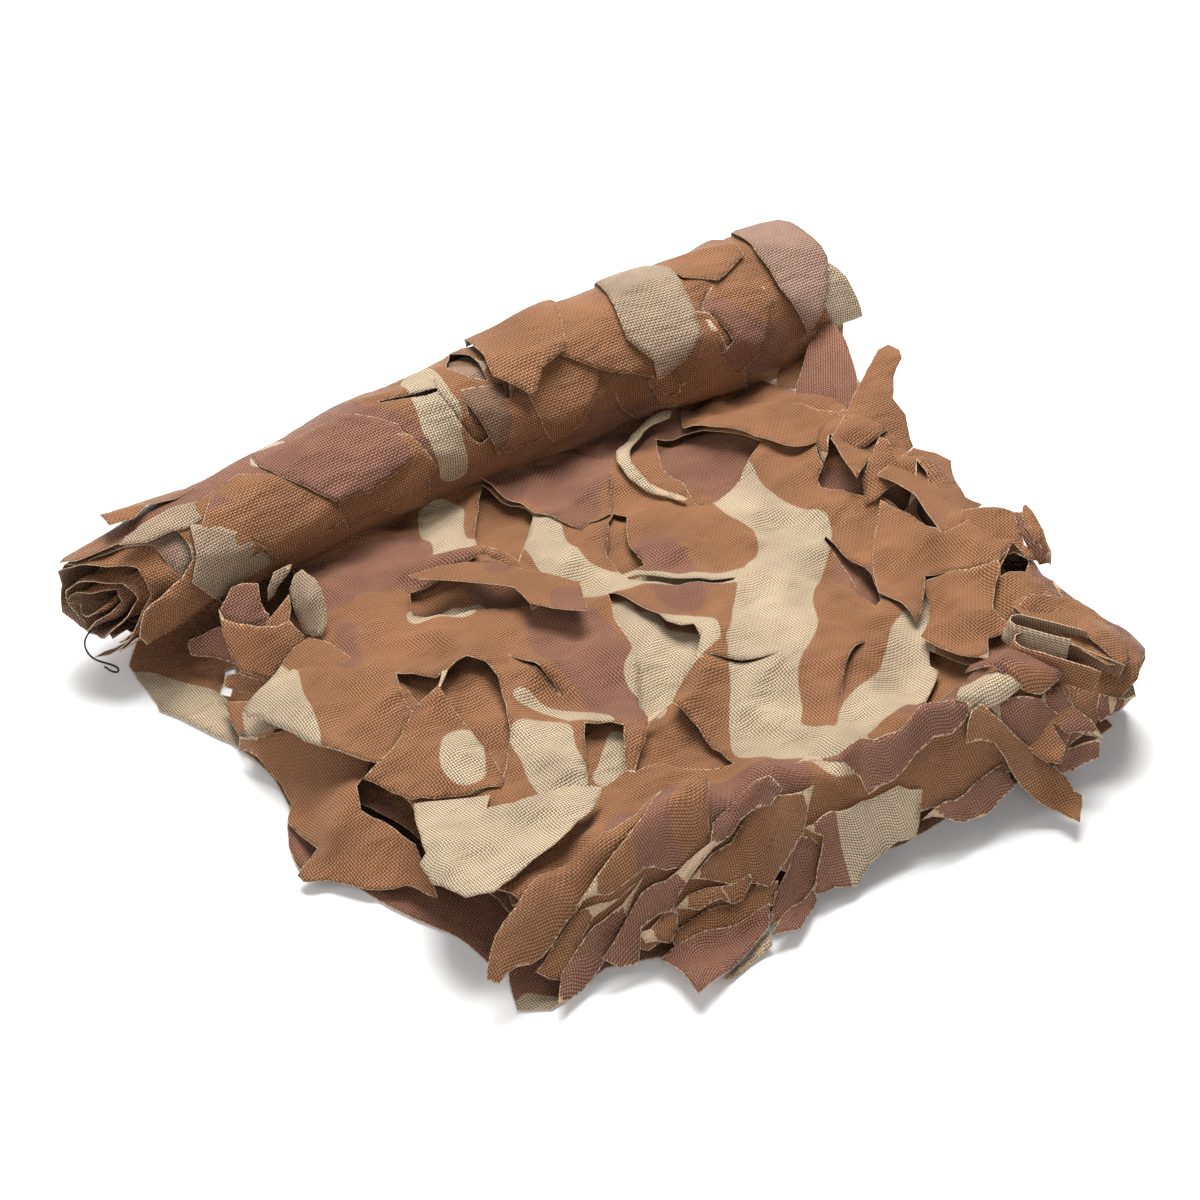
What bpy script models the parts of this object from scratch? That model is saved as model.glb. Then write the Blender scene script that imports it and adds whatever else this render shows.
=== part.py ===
"""Camouflage net, half rolled.

One length of leaf-cut cloth is folded lengthwise into four plies and rolled from one end.
The loose end lies in front of the roll, heaped a little, its leaf cuts open.

Metres, +Z up. X runs along the roll, the loose end lies towards -Y, the floor is z = 0, and
the origin is on the underside of the bottom ply.
"""
import math

import bmesh
import bpy
from mathutils import Vector
from mathutils.geometry import delaunay_2d_cdt

# Cloth and fold
CLOTH = 0.002            # thickness of one ply, loft of its small creases included
PLIES = 4
LEFT = -0.140            # fold line on the left
RIGHT = 0.148            # fold line on the right
WIDTH = RIGHT - LEFT
FOLD_RUN = 0.018         # cloth taken up by one turn
PITCH = WIDTH + FOLD_RUN
FOLD_BULGES = (0.008, 0.007, 0.010)
EDGE_WANDER = 0.004      # how far the fold lines wander from straight

# Heap of the loose end
HEAP = 0.034             # height of the top ply where nothing lifts it
HEAP_MIN = 0.0006        # the front hem of the top ply just clears the floor
CREST_Y = -0.101         # where the front face starts to fall, at CREST_X
CREST_X = -0.095
CREST_SLANT = -0.150     # the crest runs nearer the front towards the right
FRONT_FALL = 0.036       # plan depth of the front face
HEM_FROM = 0.014         # past this much of it the gathers die out towards the hem
LEFT_FALL_FROM = -0.146
LEFT_FALL = 0.034
LEFT_DROP = 0.6          # share of the height lost over the left fall

UNDER_ROLL = 0.020       # the relief dies out over this depth in front of the roll

# Roll
ROLL_Y = 0.166           # axis at mid length
ROLL_BOW = -0.35         # how the axis bends towards the front at both ends
ROLL_FLOOR = 0.012       # underside of the roll above the floor
ROLL_RADIUS = 0.0305
ROLL_CONE = 0.031        # the right end is wound more loosely
ROLL_LEFT = -0.180
ROLL_RIGHT = 0.184
WRAP_STEP = 0.0022       # edge of the outermost turn
WRAP_STEP_ANGLE = -62.0
ROLL_WAVES = 0.0008      # unevenness of the winding
ROLL_STATIONS = 18
ROLL_SIDES = 28
GROOVE_TURNS = 2.5
GROOVE_GAP = 0.0034
GROOVE_DEPTH = 0.030
GROOVE_STEPS = 26
GROOVE_OUTER = 0.0055    # depth of its outer end under the roll's surface
GROOVE_INNER = 0.006     # radius of its inner end
GROOVE_FLATNESS = 0.86
GROOVE_OVERSHOOT = 0.030
GROOVE_SHALLOWER = 0.008
END_RING = 0.60          # ring that draws each end in, as a share of the radius
NEAR_HUB = 0.014         # the hub of the near end lies this far inside
NEAR_LIP_ANGLE = 38.0    # the upper front lip of the near end is missing
NEAR_LIP_SPREAD = 52.0
NEAR_LIP_DEPTH = 0.030
ROLL_FLATNESS = 0.97     # height of the roll's section over its depth
LEAF = 0.0014            # how far a leaf stands off the roll at its root
LEAF_ROOT = 0.0024       # how deep its root is sunk

# Thread
THREAD_RADIUS = 0.00045

# Swells and ridges of the heap: along and across are half-widths, turn is in degrees
RIDGES = (
    # x, y, height, along, across, turn
    (-0.055, -0.104, 0.013, 0.062, 0.018, -10.0),
    (0.062, -0.120, 0.015, 0.070, 0.018, -8.0),
    (0.142, -0.062, 0.016, 0.062, 0.026, 84.0),
    (0.152, 0.052, 0.020, 0.042, 0.028, 70.0),
    (0.020, -0.030, 0.009, 0.060, 0.034, -35.0),
    (-0.075, 0.030, 0.006, 0.050, 0.022, 35.0),
    (-0.030, -0.070, -0.006, 0.050, 0.014, 20.0),
    (0.085, -0.065, -0.007, 0.055, 0.015, 55.0),
    (0.010, 0.135, -0.011, 0.190, 0.030, 0.0),
    (-0.120, 0.100, -0.007, 0.036, 0.028, 0.0),
    (-0.135, -0.030, -0.006, 0.045, 0.022, 80.0),
)

# Creases and gathers of the top ply alone
TOP_FOLDS = (
    # x, y, height, along, across, turn
    (-0.050, 0.088, 0.006, 0.042, 0.012, -32.0),
    (0.104, -0.092, 0.006, 0.044, 0.013, 66.0),
    (0.124, 0.090, 0.006, 0.036, 0.014, -22.0),
    (0.136, 0.004, -0.006, 0.034, 0.013, 72.0),
    (0.012, 0.024, 0.004, 0.044, 0.014, 40.0),
    (-0.116, 0.044, 0.005, 0.034, 0.014, 70.0),
    (-0.050, -0.122, -0.006, 0.034, 0.012, 62.0),
    (-0.026, -0.126, 0.006, 0.034, 0.012, 68.0),
    (0.004, -0.128, -0.005, 0.030, 0.011, 78.0),
    (0.046, -0.134, 0.005, 0.030, 0.012, 84.0),
    (-0.088, -0.116, 0.005, 0.034, 0.013, 60.0),
    (0.110, -0.122, -0.004, 0.030, 0.012, 96.0),
)

# Front edges of the plies, in the order in which the cloth runs: x, y
FRONT_EDGES = (
    (   # bottom ply, left to right
        (-0.147, -0.112), (-0.128, -0.098), (-0.108, -0.106), (-0.084, -0.098), (-0.058, -0.110),
        (-0.030, -0.102), (-0.004, -0.118), (0.028, -0.110), (0.060, -0.127), (0.092, -0.112),
        (0.120, -0.124), (0.142, -0.127),
    ),
    (   # second ply, right to left
        (0.140, -0.124), (0.112, -0.112), (0.090, -0.098), (0.064, -0.110), (0.040, -0.092),
        (0.012, -0.100), (-0.018, -0.086), (-0.046, -0.092), (-0.070, -0.078), (-0.100, -0.086),
        (-0.126, -0.072),
    ),
    (   # third ply, left to right
        (-0.124, -0.070), (-0.098, -0.082), (-0.076, -0.070), (-0.048, -0.088), (-0.020, -0.078),
        (0.006, -0.096), (0.036, -0.086), (0.062, -0.102), (0.094, -0.092), (0.122, -0.108),
        (0.140, -0.120),
    ),
    (   # top ply, right to left, with the strip and the front tongues
        (0.142, -0.134), (0.136, -0.141), (0.122, -0.127), (0.110, -0.138), (0.100, -0.158),
        (0.088, -0.176), (0.079, -0.160), (0.070, -0.142), (0.050, -0.149), (0.026, -0.138),
        (0.006, -0.146), (-0.012, -0.153), (-0.036, -0.136), (-0.056, -0.143), (-0.074, -0.138),
        (-0.090, -0.157), (-0.100, -0.138), (-0.118, -0.128), (-0.130, -0.112),
    ),
)

# Free left edges: the bottom ply's from back to front, the top ply's from front to back
BOTTOM_LEFT = (
    (-0.158, 0.166), (-0.188, 0.113), (-0.165, 0.074), (-0.163, 0.028), (-0.186, -0.012),
    (-0.171, -0.025), (-0.156, -0.065), (-0.162, -0.092),
)
TOP_LEFT = (
    (-0.146, -0.100), (-0.140, -0.075), (-0.158, -0.062), (-0.150, -0.040), (-0.132, -0.012),
    (-0.140, 0.005), (-0.148, 0.034), (-0.169, 0.044), (-0.150, 0.070), (-0.146, 0.095),
    (-0.140, 0.128), (-0.146, 0.158),
)
BACK_EDGES = (0.188, 0.174, 0.160, 0.158)
BACK_CORNER = 0.004      # the back edges end this far short of the fold lines

# Mesh of the flat cloth
TOP_MESH = 0.017
LOW_MESH = 0.029
FOLD_MESH = 0.020
FOLD_COLUMNS = 5
EDGE_MESH = 0.020
FOLD_EDGE_MESH = 0.004
MESH_ROOM = 0.42         # inner points keep this share of a step away from edges and cuts
MESH_FRONT = -0.180
MESH_BACK = 0.190
EDGE_REACH = 0.030       # the free edges reach this far past the left fold line

# Leaf cuts that stand open in the top ply: the cloth stands up along one side of each
CUT_LIFT = 0.0055
CUT_LIFT_REACH = 0.013
CUT_FAR_SIDE = -0.6      # past this share of the reach the cloth beyond the cut stays down
TOP_CUTS = (
    # x, y, length, width, turn in degrees
    (-0.052, 0.064, 0.058, 0.013, -23.0),
    (-0.098, 0.000, 0.054, 0.020, -58.0),
    (-0.069, -0.058, 0.032, 0.014, 88.0),
    (-0.012, -0.020, 0.040, 0.022, -68.0),
    (0.030, 0.018, 0.048, 0.009, -52.0),
    (0.080, -0.028, 0.056, 0.010, 77.0),
    (0.046, -0.080, 0.052, 0.009, 31.0),
    (0.134, 0.030, 0.034, 0.013, 74.0),
    (0.124, -0.014, 0.036, 0.014, 62.0),
    (0.076, 0.094, 0.054, 0.011, 80.0),
    (0.110, -0.078, 0.050, 0.013, 64.0),
    (-0.114, 0.092, 0.044, 0.021, 22.0),
    (-0.036, 0.104, 0.042, 0.011, -18.0),
    (0.028, 0.078, 0.046, 0.012, 24.0),
    (-0.040, -0.014, 0.030, 0.011, 60.0),
    (0.114, 0.078, 0.038, 0.012, -32.0),
    (-0.116, -0.068, 0.034, 0.012, -28.0),
    (-0.022, -0.122, 0.026, 0.008, 78.0),
    (0.028, -0.118, 0.028, 0.008, 62.0),
    (-0.070, 0.108, 0.034, 0.010, 32.0),
    (-0.008, 0.048, 0.036, 0.009, 48.0),
    (0.064, 0.036, 0.034, 0.009, 8.0),
)

# Staggered leaf cuts of the plies below
CUT_COLUMNS = 4
CUT_ROWS = 4
CUT_STEP_X = 0.068
CUT_STEP_Y = 0.054
CUT_FIRST_X = -0.100
CUT_FIRST_Y = -0.050
CUT_PLY_SHIFT = 0.006
CUT_LENGTH = 0.048
CUT_WIDTH = 0.017
CUT_TURNS = (-30.0, 35.0)
CUT_FULLNESS = 0.25      # how much fuller one side of a cut is than the other
TOP_CUT_SIDES = 8
LOW_CUT_SIDES = 6

# Leaves that stand up from the roll: the angle is 0 at the front of the roll and 90 on top
ROLL_LEAVES = (
    # x, angle, length, width, turn, lift of the tip
    (-0.130, 20.0, 0.050, 0.040, -18.0, 0.003),
    (0.034, 78.0, 0.058, 0.042, -108.0, 0.007),
    (0.106, 74.0, 0.060, 0.032, -100.0, 0.004),
    (0.172, 52.0, 0.060, 0.028, -98.0, 0.003),
    (0.120, 16.0, 0.048, 0.028, -62.0, 0.004),
    (-0.080, 76.0, 0.062, 0.032, -82.0, 0.004),
    (-0.044, 36.0, 0.048, 0.034, -50.0, 0.003),
    (-0.006, 30.0, 0.046, 0.030, -96.0, 0.003),
    (0.060, 6.0, 0.036, 0.026, -70.0, 0.003),
    (-0.130, 108.0, 0.050, 0.034, 150.0, 0.003),
)
BACK_LEAVES = 7          # the same kind of leaf, staggered along the back
BACK_LEAF_STEP = 0.048
BACK_LEAF_ANGLES = (205.0, 165.0)
BACK_LEAF_TURNS = (80.0, 130.0, 80.0)
BACK_LEAF_LENGTH = 0.052
BACK_LEAF_WIDTH = 0.036
BACK_LEAF_LIFT = 0.004

# Leaves that stand free of the heap: root x and y, plan length, width at the root, heading in
# degrees from +X, and how far the tip stands above the root
HEAP_LEAVES = (
    # x, y, length, width, heading, lift
    (0.146, 0.030, 0.042, 0.026, 62.0, 0.020),
    (-0.052, 0.058, 0.040, 0.020, -46.0, 0.008),
    (-0.116, 0.118, 0.038, 0.030, -132.0, 0.010),
    (-0.088, 0.112, 0.034, 0.026, -116.0, 0.012),
    (0.104, -0.100, 0.046, 0.022, -12.0, 0.010),
    (0.122, -0.070, 0.038, 0.020, -24.0, 0.012),
    (0.128, -0.026, 0.034, 0.018, 20.0, 0.012),
    (0.062, 0.080, 0.036, 0.022, 128.0, 0.008),
    (0.004, -0.006, 0.032, 0.024, -110.0, 0.007),
    (-0.064, -0.074, 0.034, 0.026, -142.0, 0.006),
)

# Tongues that reach past the ends of the roll: x is the root, inside is how many metres
# within the outer turn the tongue lies
END_TONGUES = (
    # x, angle, length, width, reach towards, inside
    (-0.150, 96.0, 0.044, 0.024, -1.0, 0.0),
    (-0.160, 136.0, 0.032, 0.022, -1.0, 0.0),
    (-0.158, -16.0, 0.036, 0.034, -1.0, 0.0),
    (-0.166, 178.0, 0.030, 0.028, -1.0, 0.0),
    (-0.154, -70.0, 0.044, 0.016, -1.0, 0.016),
    (0.172, 30.0, 0.030, 0.036, 1.0, 0.0),
    (0.172, 88.0, 0.022, 0.034, 1.0, 0.0),
    (0.172, 150.0, 0.020, 0.030, 1.0, 0.0),
)

# Route of the loose thread, from the inner tongue at the near end to the end of its loop
THREAD_ROUTE = (
    (-0.1920, 0.1482, 0.0277),
    (-0.1955, 0.1478, 0.0268),
    (-0.1982, 0.1470, 0.0242),
    (-0.1988, 0.1460, 0.0208),
    (-0.1978, 0.1448, 0.0172),
    (-0.1955, 0.1436, 0.0142),
    (-0.1925, 0.1424, 0.0120),
    (-0.1896, 0.1410, 0.0102),
    (-0.1880, 0.1394, 0.0086),
    (-0.1890, 0.1382, 0.0080),
    (-0.1914, 0.1388, 0.0092),
    (-0.1936, 0.1408, 0.0116),
)
THREAD_POINTS = 44


def smooth(t):
    """Ease from 0 to 1."""
    t = min(max(t, 0.0), 1.0)
    return t * t * (3.0 - 2.0 * t)


def raise_copy(mesh):
    """Extrude a flat grid into a slab whose upper corners are at z = 1, ready to be shaped."""
    upper = bmesh.ops.extrude_face_region(mesh, geom=mesh.faces[:])["geom"]
    for vert in upper:
        if isinstance(vert, bmesh.types.BMVert):
            vert.co.z = 1.0


# The heap ---------------------------------------------------------------------------------

def ridge(x, y, row):
    """Height that one swell adds at a plan position."""
    centre_x, centre_y, height, along, across, turn = row
    angle = math.radians(turn)
    dx = x - centre_x
    dy = y - centre_y
    u = (dx * math.cos(angle) + dy * math.sin(angle)) / along
    v = (dy * math.cos(angle) - dx * math.sin(angle)) / across
    return height * math.exp(-u * u - v * v)


def heap_height(x, y):
    """Height of the top ply above the bottom one."""
    height = HEAP + sum(ridge(x, y, row) for row in RIDGES)
    crest = CREST_Y + CREST_SLANT * (x - CREST_X)
    front = smooth((crest - y) / FRONT_FALL)
    left = smooth((LEFT_FALL_FROM - x) / LEFT_FALL)
    height *= (1.0 - front) * (1.0 - LEFT_DROP * left)
    return max(height, HEAP_MIN)


def cut_lift(x, y, row):
    """How far the cloth beside one open cut stands up."""
    centre_x, centre_y, length, width, turn = row
    angle = math.radians(turn)
    dx = x - centre_x
    dy = y - centre_y
    u = (dx * math.cos(angle) + dy * math.sin(angle)) / (0.5 * length)
    v = (dy * math.cos(angle) - dx * math.sin(angle) - 0.5 * width) / CUT_LIFT_REACH
    return CUT_LIFT * math.exp(-u * u - v * v) if v > CUT_FAR_SIDE else 0.0


def top_relief(x, y):
    """Creases, gathers and lifted leaves of the top ply."""
    relief = sum(ridge(x, y, row) for row in TOP_FOLDS)
    relief += sum(cut_lift(x, y, row) for row in TOP_CUTS)
    crest = CREST_Y + CREST_SLANT * (x - CREST_X)
    hem = 1.0 - smooth((crest - y - HEM_FROM) / (FRONT_FALL - HEM_FROM))
    return relief * hem * smooth((ROLL_Y - ROLL_RADIUS - y) / UNDER_ROLL)


def top_height(x, y):
    """Height of the middle of the top ply above the floor."""
    return 0.5 * CLOTH + heap_height(x, y) + top_relief(x, y)


def cloth_point(run, y):
    """Place a point of the flat cloth: run is measured across the plies, fold by fold."""
    ply = min(max(int(run // PITCH), 0), PLIES - 1)
    along = run - ply * PITCH
    side = 1.0 if ply % 2 == 0 else -1.0
    start = LEFT if side > 0.0 else RIGHT
    x = start + side * along
    level = float(ply)
    if along > WIDTH and ply < PLIES - 1:
        turn = math.pi * (along - WIDTH) / FOLD_RUN
        x = start + side * (WIDTH + FOLD_BULGES[ply] * math.sin(turn))
        level += 0.5 - 0.5 * math.cos(turn)
    uneven = EDGE_WANDER * (math.sin(y * 42.0 + 1.0) + 0.5 * math.sin(y * 95.0))
    z = 0.5 * CLOTH + level / (PLIES - 1) * heap_height(x, y)
    z += max(level - PLIES + 2.0, 0.0) * top_relief(x, y)
    return Vector((x + uneven * x / RIGHT, y, z))


def run_of(ply, x):
    """Distance across the flat cloth of the point of a ply that lies at x."""
    along = x - LEFT if ply % 2 == 0 else RIGHT - x
    return ply * PITCH + along


# The flat cloth ---------------------------------------------------------------------------

def cloth_outline():
    """Edge of the flat cloth, counter-clockwise, as run and y."""
    points = [(run_of(0, x), y) for x, y in BOTTOM_LEFT]
    for ply, edge in enumerate(FRONT_EDGES):
        points += [(run_of(ply, x), y) for x, y in edge]
    points += [(run_of(PLIES - 1, x), y) for x, y in TOP_LEFT]
    for ply in reversed(range(PLIES)):
        first = ply * PITCH
        points += [(first + WIDTH - BACK_CORNER, BACK_EDGES[ply]),
                   (first + BACK_CORNER, BACK_EDGES[ply])]
    return points


def in_fold(run):
    """True where the cloth turns from one ply into the next."""
    return 0.0 < run < PLIES * PITCH - FOLD_RUN and run % PITCH > WIDTH


def subdivided(points):
    """Loop with no step longer than the mesh needs, finer where it crosses a fold."""
    loop = []
    for start, end in zip(points, points[1:] + points[:1]):
        a = Vector(start)
        b = Vector(end)
        step = FOLD_EDGE_MESH if in_fold(a.lerp(b, 0.5).x) else EDGE_MESH
        count = max(1, round((b - a).length / step))
        loop += [a.lerp(b, i / count) for i in range(count)]
    return loop


def leaf_cut(run, y, length, width, turn, sides):
    """A pointed oval with one fuller side, as a loop of run and y."""
    angle = math.radians(turn)
    loop = []
    for i in range(sides):
        t = 2.0 * math.pi * i / sides
        u = 0.5 * length * math.cos(t)
        v = 0.5 * width * math.sin(t) * (1.0 + math.copysign(CUT_FULLNESS, math.sin(t)))
        loop.append(Vector((run + u * math.cos(angle) - v * math.sin(angle),
                            y + u * math.sin(angle) + v * math.cos(angle))))
    return loop


def cloth_cuts():
    """All leaf cuts that stand open."""
    cuts = []
    for x, y, length, width, turn in TOP_CUTS:
        cuts.append(leaf_cut(run_of(PLIES - 1, x), y, length, width, 180.0 - turn, TOP_CUT_SIDES))
    for ply in range(PLIES - 1):
        for row in range(CUT_ROWS):
            offset = (row + 1) % 2
            for column in range(CUT_COLUMNS - offset):
                x = CUT_FIRST_X + (column + 0.5 * offset) * CUT_STEP_X
                y = CUT_FIRST_Y + row * CUT_STEP_Y + CUT_PLY_SHIFT * ply
                turn = CUT_TURNS[(row + ply) % 2]
                cut = leaf_cut(run_of(ply, x), y, CUT_LENGTH, CUT_WIDTH, turn, LOW_CUT_SIDES)
                cuts.append(cut)
    return cuts


def inside(point, loop):
    """True if a point lies within a closed loop."""
    odd = False
    for a, b in zip(loop, loop[1:] + loop[:1]):
        if (a.y > point.y) != (b.y > point.y):
            if point.x < a.x + (point.y - a.y) / (b.y - a.y) * (b.x - a.x):
                odd = not odd
    return odd


def clearance(point, loop):
    """Distance from a point to the nearest corner of a loop."""
    return min((point - corner).length for corner in loop)


def inner_columns():
    """Columns of inner mesh points across the flat cloth, each with its step along y."""
    columns = []
    for ply in range(PLIES):
        first = ply * PITCH
        last = first + WIDTH
        step = TOP_MESH if ply == PLIES - 1 else LOW_MESH
        start = first - EDGE_REACH if ply == 0 else first
        end = last + EDGE_REACH if ply == PLIES - 1 else last
        columns += [(start + i * step, step) for i in range(round((end - start) / step) + 1)]
        if ply < PLIES - 1:
            turn = FOLD_RUN / FOLD_COLUMNS
            columns += [(last + i * turn, FOLD_MESH) for i in range(FOLD_COLUMNS + 1)]
    return columns


def inner_points(outline, cuts):
    """Mesh points between the edge and the cuts: close in the top ply, closer in the folds."""
    points = []
    for index, (run, step) in enumerate(inner_columns()):
        room = MESH_ROOM * (2.0 * FOLD_EDGE_MESH if in_fold(run) else step)
        y = MESH_FRONT + 0.5 * step * (index % 2)
        while y < MESH_BACK:
            point = Vector((run, y))
            clear = inside(point, outline) and clearance(point, outline) > room
            if clear and not any(inside(point, cut) or clearance(point, cut) < room
                                 for cut in cuts):
                points.append(point)
            y += step
    return points


def make_cloth():
    """The folded cloth: meshed flat with its cuts, then folded."""
    outline = subdivided(cloth_outline())
    cuts = cloth_cuts()
    points = []
    edges = []
    for loop in [outline] + cuts:
        first = len(points)
        points += loop
        edges += [(first + i, first + (i + 1) % len(loop)) for i in range(len(loop))]
    points += inner_points(outline, cuts)
    flat, _, faces, _, _, _ = delaunay_2d_cdt(points, edges, [], 1, 1e-6)
    mesh = bmesh.new()
    verts = [mesh.verts.new(cloth_point(*point)) for point in flat]
    for face in faces:
        middle = sum((flat[i] for i in face), Vector((0.0, 0.0))) / len(face)
        if inside(middle, outline) and not any(inside(middle, cut) for cut in cuts):
            mesh.faces.new([verts[i] for i in face])
    loose = [vert for vert in mesh.verts if not vert.link_faces]
    bmesh.ops.delete(mesh, geom=loose, context="VERTS")
    return mesh


def make_heap_leaf(x, y, length, width, heading, lift):
    """A leaf that stands free of the heap: its root is sunk into the top ply."""
    mesh = bmesh.new()
    bmesh.ops.create_grid(mesh, x_segments=4, y_segments=2, size=0.5)
    raise_copy(mesh)
    angle = math.radians(heading)
    root = top_height(x, y)
    for vert in mesh.verts:
        share = vert.co.x + 0.5
        half = width * (1.0 - 0.75 * share ** 2)
        u = share * length
        v = vert.co.y * half
        crown = -0.10 * width * (2.0 * vert.co.y) ** 2
        rise = lift * share * (2.0 - share) + crown * share
        thickness = CLOTH if vert.co.z > 0.5 else 0.0
        vert.co = (x + u * math.cos(angle) - v * math.sin(angle),
                   y + u * math.sin(angle) + v * math.cos(angle),
                   root - 0.5 * CLOTH + rise + thickness)
    bmesh.ops.recalc_face_normals(mesh, faces=mesh.faces)
    bmesh.ops.triangulate(mesh, faces=mesh.faces)
    return mesh


# The roll ---------------------------------------------------------------------------------

def roll_axis(x):
    """Middle of the roll at a station."""
    return Vector((x, ROLL_Y + ROLL_BOW * x * x, ROLL_FLOOR + ROLL_RADIUS + ROLL_CONE * x))


def roll_radius(x, angle):
    """Radius of the roll: wider at the right, uneven, with the step of its outer turn."""
    turn = ((angle - WRAP_STEP_ANGLE) % 360.0) / 360.0
    waves = ROLL_WAVES * (math.sin(x * 55.0 + 0.03 * angle) + math.sin(x * 120.0 + 1.0))
    return ROLL_RADIUS + ROLL_CONE * x + waves + WRAP_STEP * (0.5 - turn)


def roll_point(x, angle, lift=0.0):
    """Point on the roll's surface, or lifted off it."""
    radius = roll_radius(x, angle) + lift
    t = math.radians(angle)
    height = ROLL_FLATNESS * radius * math.sin(t)
    return roll_axis(x) + Vector((0.0, -radius * math.cos(t), height))


def near_end(angle):
    """How far the near end is cut back at each angle: its upper front lip is missing."""
    away = ((angle - NEAR_LIP_ANGLE + 180.0) % 360.0 - 180.0) / NEAR_LIP_SPREAD
    return NEAR_LIP_DEPTH * math.exp(-away * away)


def make_roll():
    """The wound barrel, from a grid rolled round the axis, with its ends drawn in."""
    columns = [(0.0, 0.0), (0.0, END_RING)]
    columns += [(i / (ROLL_STATIONS - 1), 1.0) for i in range(ROLL_STATIONS)]
    columns += [(1.0, END_RING), (1.0, 0.0)]
    mesh = bmesh.new()
    bmesh.ops.create_grid(mesh, x_segments=len(columns) - 1, y_segments=ROLL_SIDES, size=0.5)
    for vert in mesh.verts:
        share, reach = columns[round((vert.co.x + 0.5) * (len(columns) - 1))]
        angle = WRAP_STEP_ANGLE + 360.0 * (vert.co.y + 0.5)
        left = ROLL_LEFT + near_end(angle)
        x = left + (ROLL_RIGHT - left) * share
        rim = roll_point(x, min(angle, WRAP_STEP_ANGLE + 359.99))
        hub = roll_axis(ROLL_LEFT + NEAR_HUB if share == 0.0 else x)
        vert.co = hub.lerp(rim, reach)
    bmesh.ops.remove_doubles(mesh, verts=mesh.verts, dist=0.00002)
    seam = [edge for edge in mesh.edges if edge.is_boundary]
    bmesh.ops.holes_fill(mesh, edges=seam, sides=0)
    bmesh.ops.recalc_face_normals(mesh, faces=mesh.faces)
    bmesh.ops.triangulate(mesh, faces=mesh.faces)
    return mesh


def make_groove(end_x, inward):
    """Cutter for the spiral gap between the turns, at one end of the roll."""
    mesh = bmesh.new()
    bmesh.ops.create_grid(mesh, x_segments=GROOVE_STEPS, y_segments=1, size=0.5)
    outer = ROLL_RADIUS + ROLL_CONE * end_x - GROOVE_OUTER
    middle = roll_axis(end_x)
    for vert in mesh.verts:
        share = vert.co.x + 0.5
        t = 2.0 * math.pi * GROOVE_TURNS * share
        radius = outer + (GROOVE_INNER - outer) * share
        depth = GROOVE_DEPTH - GROOVE_SHALLOWER * share
        x = end_x + inward * (-GROOVE_OVERSHOOT if vert.co.y < 0.0 else depth)
        height = GROOVE_FLATNESS * radius * math.sin(t)
        vert.co = (x, middle.y - radius * math.cos(t), middle.z + height)
    bmesh.ops.solidify(mesh, geom=mesh.faces, thickness=GROOVE_GAP)
    bmesh.ops.recalc_face_normals(mesh, faces=mesh.faces)
    bmesh.ops.triangulate(mesh, faces=mesh.faces)
    return mesh


def leaf_width(share):
    """Width of a leaf along its length, from its root (0) to its tip (1)."""
    return 0.35 + 0.65 * math.sin(math.pi * (0.10 + 0.72 * share)) ** 0.7


def make_leaf(x, angle, length, width, turn, lift, inside_by=0.0):
    """A leaf on the roll: its root is sunk into the outer turn and its tip stands off."""
    mesh = bmesh.new()
    bmesh.ops.create_grid(mesh, x_segments=4, y_segments=2, size=0.5)
    raise_copy(mesh)
    direction = math.radians(turn)
    degrees_per_metre = math.degrees(1.0 / roll_radius(x, angle))
    for vert in mesh.verts:
        share = vert.co.x + 0.5
        half = width * leaf_width(share)
        u = (share - 0.5) * length
        v = vert.co.y * half
        along = u * math.cos(direction) - v * math.sin(direction)
        around = u * math.sin(direction) + v * math.cos(direction)
        stand = lift * smooth(share) * (0.7 + 0.6 * abs(vert.co.y))
        rise = LEAF + stand if vert.co.z > 0.5 else (LEAF_ROOT + stand) * smooth(share) - LEAF_ROOT
        vert.co = roll_point(x + along, angle + around * degrees_per_metre, rise - inside_by)
    bmesh.ops.recalc_face_normals(mesh, faces=mesh.faces)
    bmesh.ops.triangulate(mesh, faces=mesh.faces)
    return mesh


# Objects ----------------------------------------------------------------------------------

def make_material(name, colour, roughness):
    """Plain coated cloth or thread."""
    material = bpy.data.materials.new(name)
    material.use_nodes = True
    shader = material.node_tree.nodes["Principled BSDF"]
    shader.inputs["Base Color"].default_value = (*colour, 1.0)
    shader.inputs["Roughness"].default_value = roughness
    shader.inputs["Metallic"].default_value = 0.0
    return material


def make_object(name, mesh, collection, hidden=False):
    """Turn a bmesh into an object; hidden ones only shape another."""
    data = bpy.data.meshes.new(name)
    mesh.to_mesh(data)
    mesh.free()
    piece = bpy.data.objects.new(name, data)
    collection.objects.link(piece)
    if hidden:
        piece.hide_render = True
        piece.display_type = "WIRE"
    return piece


def new_collection(name):
    """A collection of its own, for the bodies that one Boolean takes together."""
    collection = bpy.data.collections.new(name)
    bpy.context.scene.collection.children.link(collection)
    return collection


def combine(piece, operation, collection):
    """Union or difference with every body of a collection."""
    modifier = piece.modifiers.new(operation.title(), "BOOLEAN")
    modifier.operation = operation
    modifier.operand_type = "COLLECTION"
    modifier.collection = collection
    modifier.solver = "EXACT"


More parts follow.
